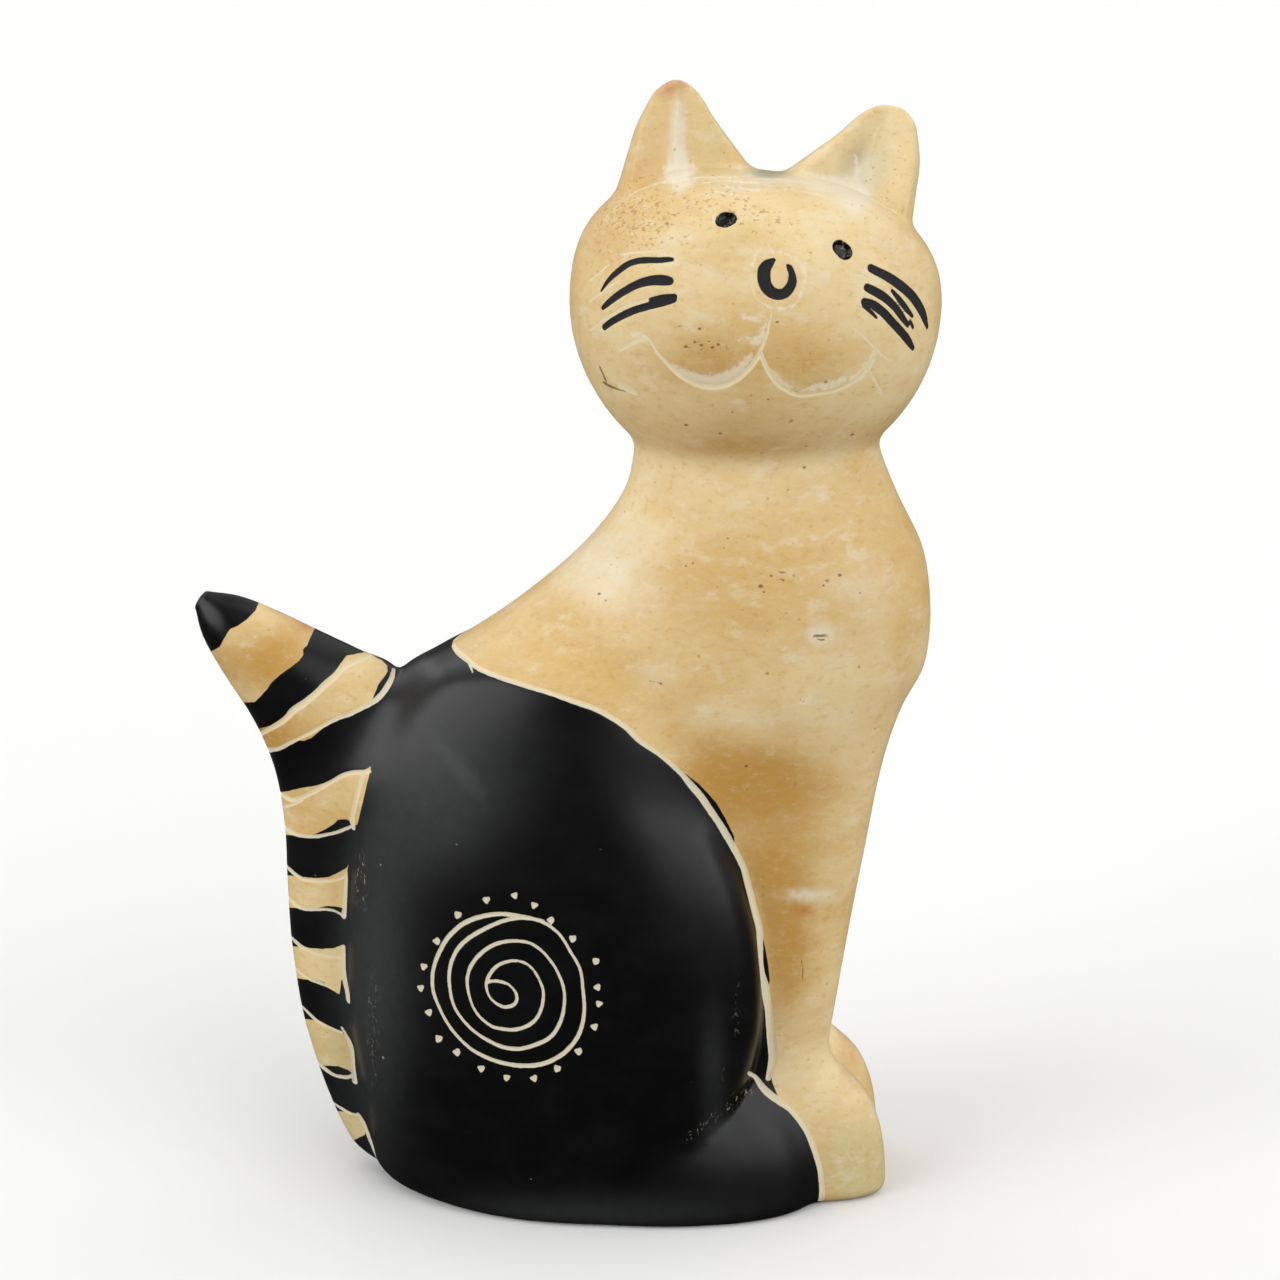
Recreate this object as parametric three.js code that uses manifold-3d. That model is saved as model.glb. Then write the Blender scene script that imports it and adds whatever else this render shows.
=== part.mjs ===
// A sitting cat carved from one block of soapstone, with its head turned to its own right.
// Millimetres. X runs towards the chest, Y to the cat's left, Z up, and the flat underside is at Z = 0.
import * as THREE from "three";
import { mergeVertices } from "three/addons/utils/BufferGeometryUtils.js";
import Module from "manifold-3d";

const wasm = await Module();
wasm.setup();

// Driving dimensions.
const baseRounding = 1.7; // radius of the worn edge round the underside

// Trunk: at each height, where the back, the widest place and the front are, and half its width.
const trunk = {
  height: [0, 20, 40, 56, 68, 72.6, 76.2, 82.1, 89.3, 96.7, 103.5, 112],
  back: [-27.5, -30.5, -31, -28, -25, -22.4, -15, -5.3, 2.4, 7.5, 9, 10],
  widest: [4, 4, 6, 14, 22, 24, 25, 26, 26, 25, 25, 25],
  front: [31, 33, 36.3, 40.8, 45.2, 47.4, 48.1, 48.2, 47.1, 43.6, 41, 40],
  halfWidth: [15.5, 16, 15.5, 15.5, 16.5, 17, 17.2, 17.2, 16.4, 14.8, 13.6, 13],
  roundness: 2.15,
};

// Lobes, given for the cat's right side (negative Y) and mirrored for the left.
const thigh = {
  centre: [-2.3, -9.5, 30],
  length: 28.6,
  width: 11,
  up: 44.5,
  down: 31,
  plan: 2.15,
  profileUp: 2.1,
  profileDown: 2.1,
  toeOut: 12.5,
  bend: -0.003,
  sides: 30,
  rows: 16,
};
const rump = {
  centre: [-4, -9.3, 0],
  length: 23,
  width: 10,
  up: 44,
  down: 44,
  plan: 2,
  profileUp: 2.6,
  profileDown: 2.6,
  toeOut: 15,
};
const hindFoot = {
  centre: [16, -12, 0],
  length: 18,
  width: 8.9,
  up: 21,
  down: 21,
  plan: 2.2,
  profileUp: 2,
  profileDown: 2,
  toeOut: -6,
};
const foreleg = {
  centre: [24.2, -6.2, 15],
  length: 9.8,
  width: 6.4,
  up: 64,
  down: 40,
  plan: 2.3,
  profileUp: 3,
  profileDown: 3,
  lean: 0.175,
};
const forepaw = {
  centre: [30, -6.8, 0],
  length: 13.4,
  width: 6.7,
  up: 18.8,
  down: 18.8,
  plan: 2.4,
  profileUp: 2.6,
  profileDown: 2.6,
};

// Tail, from its tip in the air to its root at the ground: at each station, the two ends of an oval
// section, on the outside of the curve and on the inside, and half its width.
const tail = {
  outside: {
    x: [-49.8, -48.8, -45.8, -43.1, -41, -39.6, -38.8, -38.6, -38.1, -36.6, -32.4, -26.5],
    z: [80.4, 76.6, 71, 66.6, 62, 57, 50, 42.2, 32, 20.5, 7.5, -3],
  },
  inside: {
    x: [-48.1, -43.8, -39, -34, -28.5, -23, -21, -21, -21, -21, -20, -18],
    z: [83, 82.2, 80.2, 77.7, 75, 72, 64, 52, 38, 25, 10, -2],
  },
  halfWidth: [1.2, 3.2, 4.6, 5.5, 6.1, 6.4, 6.5, 6.3, 6, 5.4, 4.3, 3],
};

// Head, in its own frame: X to the cat's left cheek, Z to the crown, and the face looks along -Y.
const head = {
  place: [24.6, 0, 122],
  turn: 3.8, // degrees towards the chest, from straight out to the side
  lift: 12, // degrees that the face looks up
  tilt: 8, // degrees that the crown leans towards the chest
  centre: [0, 0, 0],
  length: 24.2,
  width: 19.5,
  up: 16.6,
  down: 23.7,
  plan: 2.15,
  profileUp: 2.45,
  profileDown: 2,
  sides: 40,
  rows: 22,
};
const ear = {
  root: 8, // lowest level of the ear, inside the head
  tip: 26.6,
  tipRounding: 2.2,
  innerEdge: 3.1, // from the middle of the head, at the level of the crown
  innerSlope: 0.88,
  outerEdge: 18.9,
  outerCurve: 0.042,
  straightTo: 18.5, // level where the outer edge starts to curve in
  shift: -0.6, // both ears sit a little towards the cat's right
  roundness: 2.3,
  thinnest: 0.15, // half of the smallest width or depth at the very tip
  depth: 6.5, // half the thickness at the level of the crown
  depthTaper: 0.36,
  forward: 2.5,
  forwardSlope: 0.14,
  valleyRoot: [11.2, 13, 3.9], // the hollow's bottom line: sideways, level, forward
  valleyTip: [14.5, 30, 4.7],
  valleySlope: 0.42,
  hollowReach: 16, // half the width of the wedge that cuts the hollow
};
const eye = { radius: 1.4, proud: 0.3, spots: [[-6.6, 8.1], [8.3, 6.2]] };
const nose = { spot: [0.5, 1.4], radius: 3.4, groove: 0.5 };
const mouth = {
  groove: 0.65,
  right: [[-0.1, -7.5], [-2.7, -11.4], [-8.1, -12.3], [-13.6, -7.9]],
  left: [[-0.1, -7.5], [3.3, -11.2], [9.9, -11.1], [14.6, -5.9]],
};

const grooveSink = 0.2; // how far the middle of a scratched line lies under the face

// The ground that the underside is cut to.
const ground = { across: 200, depth: 40 };

// Fineness of the facets.
const sides = { trunk: 40, lobe: 22, ear: 20, tail: 16, groove: 3, noseRing: 6 };
const rows = { trunk: 24, lobe: 10, ear: 11, tail: 30, groove: 14, noseRing: 28 };
const noseCorners = 10;
const pitDetail = 2;
const earCapDegrees = [25, 50, 70, 84];
const edgeDegrees = [0, 30, 60]; // places on the quarter round of the underside's edge
const lobeEndDegrees = 86; // how near to a lobe's pole its last ring lies
const lobePole = 0.998; // the same at its lower end, as a share of its height

const radians = THREE.MathUtils.degToRad;

// A smooth curve through values given at rising stations, with the slope at each set by its neighbours.
function smoothThrough(stations, values, at) {
  const last = stations.length - 1;
  const slope = (i) => {
    const before = Math.max(i - 1, 0);
    const after = Math.min(i + 1, last);
    return (values[after] - values[before]) / (stations[after] - stations[before]);
  };
  const found = stations.findIndex((station) => station > at);
  const i = found < 0 ? last - 1 : Math.max(found - 1, 0);
  const span = stations[i + 1] - stations[i];
  const t = THREE.MathUtils.clamp((at - stations[i]) / span, 0, 1);
  const rise = values[i + 1] - values[i];
  const start = span * slope(i);
  const end = span * slope(i + 1);
  return values[i] + t * (start + t * (3 * rise - 2 * start - end + t * (start + end - 2 * rise)));
}

// A corner of a rounded outline: an ellipse with exponent 2, squarer above it.
function outlinePoint(angle, { front, back, halfWidth, exponent }) {
  const power = 2 / exponent;
  const c = Math.cos(angle);
  const s = Math.sin(angle);
  return [
    Math.sign(c) * Math.abs(c) ** power * (c > 0 ? front : back),
    Math.sign(s) * Math.abs(s) ** power * halfWidth,
  ];
}

// How far a quarter-round edge pulls in at a distance from the plane that it ends on.
function roundedEdge(distance, radius) {
  const rest = Math.max(radius - distance, 0);
  return radius - Math.sqrt(radius * radius - rest * rest);
}

// Levels that follow the rounded edge of the underside.
const edgeLevels = edgeDegrees.map((degrees) => baseRounding * (1 - Math.cos(radians(degrees))));

// A closed skin over a stack of rings with the same number of corners, fanned shut at both ends.
function skin(rings) {
  const count = rings[0].length;
  const middle = (ring) =>
    ring.reduce((sum, point) => sum.add(point), new THREE.Vector3()).divideScalar(count);
  const points = [...rings.flat(), middle(rings[0]), middle(rings[rings.length - 1])];
  const first = points.length - 2;
  const top = (rings.length - 1) * count;
  const index = [];
  for (let i = 0; i < count; i++) {
    const j = (i + 1) % count;
    for (let r = 0; r < top; r += count) {
      index.push(r + i, r + j, r + count + i, r + j, r + count + j, r + count + i);
    }
    index.push(first, j, i, first + 1, top + i, top + j);
  }
  return new THREE.BufferGeometry().setFromPoints(points).setIndex(index);
}

// A closed three.js geometry as a solid that can be joined and cut.
function solid(geometry) {
  const bare = geometry.clone();
  bare.deleteAttribute("normal");
  bare.deleteAttribute("uv");
  const merged = mergeVertices(bare, 1e-4);
  return new wasm.Manifold(
    new wasm.Mesh({
      numProp: 3,
      vertProperties: new Float32Array(merged.attributes.position.array),
      triVerts: new Uint32Array(merged.index.array),
    }),
  );
}

// A lobe: an egg with its own exponents, cut flat at the ground where it reaches that low.
// Its middle can lean or bend along X as it rises, and it turns outwards by toeOut degrees.
function lobe(form, { side = 1, grounded = true } = {}) {
  const [x, y, z] = form.centre;
  const ringSides = form.sides ?? sides.lobe;
  const ringRows = form.rows ?? rows.lobe;
  const turn = radians(-side * (form.toeOut ?? 0));
  const low = grounded ? Math.max(-z, -form.down) : -form.down;
  const onGround = grounded && low > -form.down;
  const half = (rise) => (rise > 0 ? form.up : form.down);
  const power = (rise) => (rise > 0 ? form.profileUp : form.profileDown);
  const share = (rise) => (1 - Math.abs(rise / half(rise)) ** power(rise)) ** (1 / power(rise));
  const start = onGround ? low + baseRounding : low;
  const startAngle = Math.asin(THREE.MathUtils.clamp(start / half(start), -lobePole, 1));
  const levels = onGround ? edgeLevels.map((level) => low + level) : [];
  for (let i = 0; i <= ringRows; i++) {
    const angle = THREE.MathUtils.lerp(startAngle, radians(lobeEndDegrees), i / ringRows);
    levels.push(Math.sin(angle) * half(angle));
  }
  const rings = levels.map((rise) => {
    const inset = onGround ? roundedEdge(rise - low, baseRounding) : 0;
    const size = share(rise);
    const shift = (form.lean ?? 0) * rise + (form.bend ?? 0) * Math.max(rise, 0) ** 2;
    const outline = {
      front: form.length * size - inset,
      back: form.length * size - inset,
      halfWidth: form.width * size - inset,
      exponent: form.plan,
    };
    return Array.from({ length: ringSides }, (_, i) => {
      const [along, across] = outlinePoint((i / ringSides) * 2 * Math.PI, outline);
      return new THREE.Vector3(
        x + shift + along * Math.cos(turn) - across * Math.sin(turn),
        side * y + along * Math.sin(turn) + across * Math.cos(turn),
        z + rise,
      );
    });
  });
  return skin(rings);
}

// The trunk and rump: a stack of egg-shaped sections from the underside up into the head.
function trunkBody() {
  const highest = trunk.height[trunk.height.length - 1];
  const levels = [...edgeLevels];
  for (let i = 0; i <= rows.trunk; i++) {
    levels.push(THREE.MathUtils.lerp(baseRounding, highest, i / rows.trunk));
  }
  const rings = levels.map((z) => {
    const at = (name) => smoothThrough(trunk.height, trunk[name], z);
    const inset = roundedEdge(z, baseRounding);
    const outline = {
      front: at("front") - at("widest") - inset,
      back: at("widest") - at("back") - inset,
      halfWidth: at("halfWidth") - inset,
      exponent: trunk.roundness,
    };
    return Array.from({ length: sides.trunk }, (_, i) => {
      const [along, across] = outlinePoint((i / sides.trunk) * 2 * Math.PI, outline);
      return new THREE.Vector3(at("widest") + along, across, z);
    });
  });
  return skin(rings);
}

// The tail: oval sections between its two outlines.
function tailHorn() {
  const last = tail.halfWidth.length - 1;
  const stations = Array.from({ length: last + 1 }, (_, i) => i);
  const end = (outline, t) =>
    new THREE.Vector3(
      smoothThrough(stations, outline.x, t),
      0,
      smoothThrough(stations, outline.z, t),
    );
  const rings = Array.from({ length: rows.tail + 1 }, (_, r) => {
    const t = (r / rows.tail) * last;
    const outside = end(tail.outside, t);
    const inside = end(tail.inside, t);
    const halfWidth = smoothThrough(stations, tail.halfWidth, t);
    return Array.from({ length: sides.tail }, (_, i) => {
      const angle = (i / sides.tail) * 2 * Math.PI;
      return outside
        .clone()
        .lerp(inside, 0.5 + 0.5 * Math.cos(angle))
        .setY(halfWidth * Math.sin(angle));
    });
  });
  return skin(rings.reverse());
}

// How far out the face lies at a place on it, given sideways and up from the middle of the head.
function faceDepth(sideways, up) {
  const half = up > 0 ? head.up : head.down;
  const profile = up > 0 ? head.profileUp : head.profileDown;
  const share = (1 - Math.abs(up / half) ** profile) ** (1 / profile);
  const left = share ** head.plan - Math.abs(sideways / head.length) ** head.plan;
  return head.width * left ** (1 / head.plan);
}

function facePoint([sideways, up], outwards = 0) {
  return new THREE.Vector3(sideways, -faceDepth(sideways, up) - outwards, up);
}

// One ear: a tapering blade with a rounded tip. Side is 1 for the cat's left ear.
function earBlade(side) {
  const levels = Array.from({ length: rows.ear + 1 }, (_, i) =>
    THREE.MathUtils.lerp(ear.root, ear.tip - ear.tipRounding, i / rows.ear),
  );
  earCapDegrees.forEach((degrees) =>
    levels.push(ear.tip - ear.tipRounding * (1 - Math.sin(radians(degrees)))),
  );
  const rings = levels.map((level) => {
    const inset = roundedEdge(ear.tip - level, ear.tipRounding);
    const inner = ear.innerEdge + ear.innerSlope * (level - head.up) + inset;
    const outer = ear.outerEdge - ear.outerCurve * Math.max(level - ear.straightTo, 0) ** 2 - inset;
    const depth = ear.depth - ear.depthTaper * (level - head.up) - inset;
    const forward = ear.forward + ear.forwardSlope * (level - head.up);
    const halfSpan = Math.max((outer - inner) / 2, ear.thinnest);
    const outline = {
      front: halfSpan,
      back: halfSpan,
      halfWidth: Math.max(depth, ear.thinnest),
      exponent: ear.roundness,
    };
    return Array.from({ length: sides.ear }, (_, i) => {
      const [along, across] = outlinePoint((i / sides.ear) * 2 * Math.PI, outline);
      const sideways = ear.shift + (side * (outer + inner)) / 2;
      return new THREE.Vector3(sideways + along, across - forward, level);
    });
  });
  return skin(rings);
}

// The wedge that hollows the front of an ear into two flats, which meet in a valley.
function earHollow(side) {
  const reach = ear.hollowReach;
  const ring = ([sideways, level, forward]) => {
    const rim = forward + ear.valleySlope * reach;
    const corners = [
      [0, forward],
      [reach, rim],
      [reach, rim + reach],
      [-reach, rim + reach],
      [-reach, rim],
    ];
    return corners
      .map(([across, out]) => new THREE.Vector3(ear.shift + side * sideways + across, -out, level))
      .reverse();
  };
  return skin([ring(ear.valleyRoot), ring(ear.valleyTip)]);
}

// A groove that follows the face through some of its points.
function faceGroove(spots, radius) {
  const path = new THREE.CatmullRomCurve3(spots.map((spot) => facePoint(spot, -grooveSink)));
  const round = new THREE.Shape().absarc(0, 0, radius, 0, 2 * Math.PI);
  return new THREE.ExtrudeGeometry(round, {
    steps: rows.groove,
    curveSegments: sides.groove,
    extrudePath: path,
  });
}

// The ring scratched round the nose.
function noseRing() {
  const spots = Array.from({ length: noseCorners }, (_, i) => {
    const angle = (i / noseCorners) * 2 * Math.PI;
    const sideways = nose.spot[0] + nose.radius * Math.cos(angle);
    const up = nose.spot[1] + nose.radius * Math.sin(angle);
    return facePoint([sideways, up], -grooveSink);
  });
  const path = new THREE.CatmullRomCurve3(spots, true);
  return new THREE.TubeGeometry(path, rows.noseRing, nose.groove, sides.noseRing, true);
}

// The head in its own frame: skull and ears, then the hollows, eye pits, nose ring and mouth cut into them.
function headSolid() {
  let made = solid(lobe(head, { grounded: false }));
  for (const side of [-1, 1]) {
    made = made.add(solid(earBlade(side)).subtract(solid(earHollow(side))));
  }
  for (const spot of eye.spots) {
    const pit = new THREE.IcosahedronGeometry(eye.radius, pitDetail);
    pit.translate(...facePoint(spot, eye.proud).toArray());
    made = made.subtract(solid(pit));
  }
  for (const curve of [mouth.right, mouth.left]) {
    made = made.subtract(solid(faceGroove(curve, mouth.groove)));
  }
  made = made.subtract(solid(noseRing()));
  const place = new THREE.Matrix4()
    .makeTranslation(...head.place)
    .multiply(new THREE.Matrix4().makeRotationZ(radians(head.turn)))
    .multiply(new THREE.Matrix4().makeRotationX(radians(-head.lift)))
    .multiply(new THREE.Matrix4().makeRotationY(radians(head.tilt)));
  return made.transform(place.toArray());
}

// Everything joined into the one block, and cut flat underneath.
function catSolid() {
  let made = solid(trunkBody()).add(headSolid());
  for (const side of [1, -1]) {
    for (const form of [thigh, rump, hindFoot, foreleg, forepaw]) {
      made = made.add(solid(lobe(form, { side })));
    }
  }
  const below = new THREE.BoxGeometry(ground.across, ground.across, ground.depth);
  below.translate(0, 0, -ground.depth / 2);
  return made.add(solid(tailHorn())).subtract(solid(below));
}

function geometryOf(made) {
  const { numProp, numVert, vertProperties, triVerts } = made.getMesh();
  const position = new Float32Array(numVert * 3);
  for (let i = 0; i < numVert; i++) {
    position.set(vertProperties.subarray(i * numProp, i * numProp + 3), i * 3);
  }
  const geometry = new THREE.BufferGeometry()
    .setAttribute("position", new THREE.BufferAttribute(position, 3))
    .setIndex(new THREE.BufferAttribute(new Uint32Array(triVerts), 1));
  geometry.computeVertexNormals();
  return geometry;
}

const stone = new THREE.MeshStandardMaterial({ color: 0xdcbf85, roughness: 0.45, metalness: 0 });
const geometry = geometryOf(catSolid());
geometry.computeBoundingBox();
const { min, max } = geometry.boundingBox;
geometry.translate(-(min.x + max.x) / 2, 0, 0); // the origin lies under the middle of the length

const cat = new THREE.Mesh(geometry, stone);
cat.name = "cat_figurine";

const figurine = new THREE.Group();
figurine.add(cat);

export default figurine;
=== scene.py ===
"""A sitting cat carved from one block of soapstone, dyed black and scratched with pale lines.

The stone is one blended form. Each part of the cat is a field: a value at every place, in
millimetres, that is negative inside the stone and zero on its surface. The fields flow into one
another, and the skin is drawn where the blended field is zero.
"""

import logging
import math
from dataclasses import dataclass
from enum import Enum
from typing import Callable

import bpy
import numpy as np
from mathutils import Matrix

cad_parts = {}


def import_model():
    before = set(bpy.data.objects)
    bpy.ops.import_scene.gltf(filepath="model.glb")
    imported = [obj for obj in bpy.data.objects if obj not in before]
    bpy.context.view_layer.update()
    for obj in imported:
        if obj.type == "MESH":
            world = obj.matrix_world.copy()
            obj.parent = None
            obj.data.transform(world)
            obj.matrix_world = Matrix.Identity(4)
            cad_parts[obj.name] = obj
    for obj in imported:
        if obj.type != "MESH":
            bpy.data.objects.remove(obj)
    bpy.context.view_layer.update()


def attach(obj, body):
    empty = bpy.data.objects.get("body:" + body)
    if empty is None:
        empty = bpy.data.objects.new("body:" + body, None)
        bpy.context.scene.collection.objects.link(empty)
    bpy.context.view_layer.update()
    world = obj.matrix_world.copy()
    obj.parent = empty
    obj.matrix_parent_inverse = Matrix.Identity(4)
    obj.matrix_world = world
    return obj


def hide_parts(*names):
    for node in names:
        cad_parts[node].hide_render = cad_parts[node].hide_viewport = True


LOG = logging.getLogger("soapstone_cat")

MM = 0.001
NODE = "cat_figurine"
PIECE = "carved_cat"
DYE = "dye"
MIDDLE_SHIFT = 0.52  # mm along X that puts the origin under the middle of the length
LEAST_SLOPE = 0.02
SMALL = 1e-6
TINY = 1e-9

Array = np.ndarray
Pair = tuple[float, float]
Triple = tuple[float, float, float]
Field = Callable[[Array], Array]


# Small sums used by every part


def turned(axis: int, degrees: float) -> Array:
    """Gives the matrix of a right-handed turn about one axis.

    Args:
        axis: 0 for X, 1 for Y, 2 for Z.
        degrees: how far to turn.

    Returns:
        A 3 by 3 matrix.
    """
    c, s = math.cos(math.radians(degrees)), math.sin(math.radians(degrees))
    first, second = [(1, 2), (2, 0), (0, 1)][axis]
    matrix = np.eye(3)
    matrix[first, first] = matrix[second, second] = c
    matrix[first, second], matrix[second, first] = -s, s
    return matrix


def turned_flat(a: Array, b: Array, degrees: float) -> tuple[Array, Array]:
    """Reads two coordinates along axes that are turned by some degrees."""
    c, s = math.cos(math.radians(degrees)), math.sin(math.radians(degrees))
    return a * c + b * s, b * c - a * s


def cubic(first: Array, rise: Array, start: Array, end: Array, t: Array) -> Array:
    """Runs a cubic from a first value over a rise, with a slope at its start and its end."""
    return first + t * (start + t * (3 * rise - 2 * start - end + t * (start + end - 2 * rise)))


def smooth_through(stations: tuple, values: tuple, at: Array) -> Array:
    """Runs a smooth curve through values at rising stations: cubic pieces whose slope at each
    station is that of the line between its two neighbours.

    Args:
        stations: rising numbers.
        values: one value for each station.
        at: the places to read.

    Returns:
        The curve's value at each place, held level beyond both ends.
    """
    s, v = np.asarray(stations, float), np.asarray(values, float)
    slope = np.empty_like(v)
    slope[1:-1] = (v[2:] - v[:-2]) / (s[2:] - s[:-2])
    slope[0], slope[-1] = (v[1] - v[0]) / (s[1] - s[0]), (v[-1] - v[-2]) / (s[-1] - s[-2])
    i = np.clip(np.searchsorted(s, at, side="right") - 1, 0, len(s) - 2)
    span = s[i + 1] - s[i]
    t = np.clip((at - s[i]) / span, 0, 1)
    return cubic(v[i], v[i + 1] - v[i], span * slope[i], span * slope[i + 1], t)


def joined(a: Array, b: Array, reach: float | Array) -> Array:
    """Joins two fields with a soft valley: the smaller of the two, lowered where they are nearly
    equal by a parabola of the given reach.

    Args:
        a: one field's values.
        b: the other's.
        reach: how wide the valley is, in millimetres.

    Returns:
        The joined values.
    """
    h = np.clip(0.5 + 0.5 * (b - a) / reach, 0, 1)
    return b + (a - b) * h - reach * h * (1 - h)


def cut(a: Array, b: Array, reach: float) -> Array:
    """Keeps what is inside both fields, with a soft ridge: the larger of the two, rounded."""
    return -joined(-a, -b, reach)


def cut_round(a: Array, b: Array, radius: float | Array) -> Array:
    """Keeps what is inside both fields, with a quarter-round between them: the length of the two
    distances past the round's middle, less its radius.

    Args:
        a: one field's values.
        b: the other's.
        radius: the round's radius in millimetres.

    Returns:
        The cut values.
    """
    past = np.hypot(np.maximum(a + radius, 0), np.maximum(b + radius, 0))
    return np.minimum(np.maximum(a, b), -radius) + past


def eased(low: float, high: float, at: Array) -> Array:
    """Rises from 0 at low to 1 at high, level at both ends."""
    t = np.clip((at - low) / (high - low), 0, 1)
    return t * t * (3 - 2 * t)


def oval(a: Array, b: Array, exponent: float) -> Array:
    """Joins two shares of an oval's half sizes into how far out a place is, 1 on its outline."""
    return np.maximum(a**exponent + b**exponent, TINY) ** (1 / exponent)


def by_slope(norm: Field, points: Array, step: float = 0.2) -> Array:
    """Turns a norm into a field: the norm less one, over its slope, found by small steps.

    Args:
        norm: gives how far out a place is, 1 on the surface.
        points: places in millimetres, one row each.
        step: how long the steps are.

    Returns:
        About the distance from the surface, negative inside.
    """
    here = norm(points)
    steps = [norm(points + step * axis) - here for axis in np.eye(3)]
    slope = np.sqrt(sum(rise**2 for rise in steps)) / step
    return (here - 1) / np.maximum(slope, LEAST_SLOPE)


# The parts of the cat


@dataclass(frozen=True)
class Lobe:
    """An egg with its own exponents, for the cat's right side (side 1) or its left (side -1)."""

    centre: Triple
    length: float
    width: float
    up: float
    down: float
    plan: float = 2.2
    profile_up: float = 2.0
    profile_down: float = 2.0
    toe_out: float = 0.0
    bend: float = 0.0
    lean: float = 0.0

    def field(self, points: Array, side: int = 1) -> Array:
        """Works out the egg's field: its norm less one, over the norm's slope. The norm joins the
        shares of the length and width by the plan exponent, and that with the share of the height
        by the profile exponent.

        Args:
            points: places in millimetres, one row each.
            side: 1 for the cat's right, -1 for its left.

        Returns:
            About the distance from the egg's surface, negative inside.
        """
        x, y, z = self.centre
        rise = points[:, 2] - z
        along = points[:, 0] - x - self.lean * rise - self.bend * np.maximum(rise, 0) ** 2
        along, across = turned_flat(along, side * points[:, 1] - y, -self.toe_out)
        upper = rise > 0
        half = np.where(upper, self.up, self.down)
        profile = np.where(upper, self.profile_up, self.profile_down)
        a = np.maximum(np.abs(along) / self.length, SMALL)
        b = np.maximum(np.abs(across) / self.width, SMALL)
        c = np.maximum(np.abs(rise) / half, SMALL)
        q = (a**self.plan + b**self.plan) ** (1 / self.plan)
        norm = (q**profile + c**profile) ** (1 / profile)
        by_q, by_c = (q / norm) ** (profile - 1), (c / norm) ** (profile - 1)
        by_a, by_b = (a / q) ** (self.plan - 1), (b / q) ** (self.plan - 1)
        slope = np.sqrt(
            (by_q * by_a / self.length) ** 2 + (by_q * by_b / self.width) ** 2 + (by_c / half) ** 2
        )
        return (norm - 1) / slope


@dataclass(frozen=True)
class Trunk:
    """The trunk: at each height, where the back, the widest place and the front are."""

    height: tuple = (0, 20, 40, 56, 68, 72.6, 76.2, 82.1, 89.3, 96.7, 103.5, 112)
    back: tuple = (-27.5, -30.5, -31, -28, -25, -21.9, -14.8, -6.1, 2.0, 7.5, 9, 10)
    widest: tuple = (4, 4, 6, 14, 22, 24, 25, 26, 26, 25, 25, 25)
    front: tuple = (31, 33, 35.9, 40.2, 45, 47.4, 48.1, 48.2, 47.1, 43.6, 41, 40)
    half_width: tuple = (15.5, 16, 15.5, 15.5, 16.5, 17, 17.2, 17.2, 16.4, 14.8, 13.6, 13)
    roundness: float = 2.15
    end_rounding: float = 2.0

    def norm(self, points: Array) -> Array:
        """Gives how far out a place is in the oval section at its height.

        Args:
            points: places in millimetres, one row each.

        Returns:
            1 on the outline, less inside.
        """
        height = points[:, 2]
        widest = smooth_through(self.height, self.widest, height)
        front = smooth_through(self.height, self.front, height) - widest
        back = widest - smooth_through(self.height, self.back, height)
        half = smooth_through(self.height, self.half_width, height)
        along = points[:, 0] - widest
        a = np.abs(along) / np.where(along > 0, front, back)
        return oval(a, np.abs(points[:, 1]) / half, self.roundness)

    def field(self, points: Array) -> Array:
        """Gives the field of the ovals, ended inside the head."""
        return cut(by_slope(self.norm, points), points[:, 2] - self.height[-1], self.end_rounding)


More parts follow.
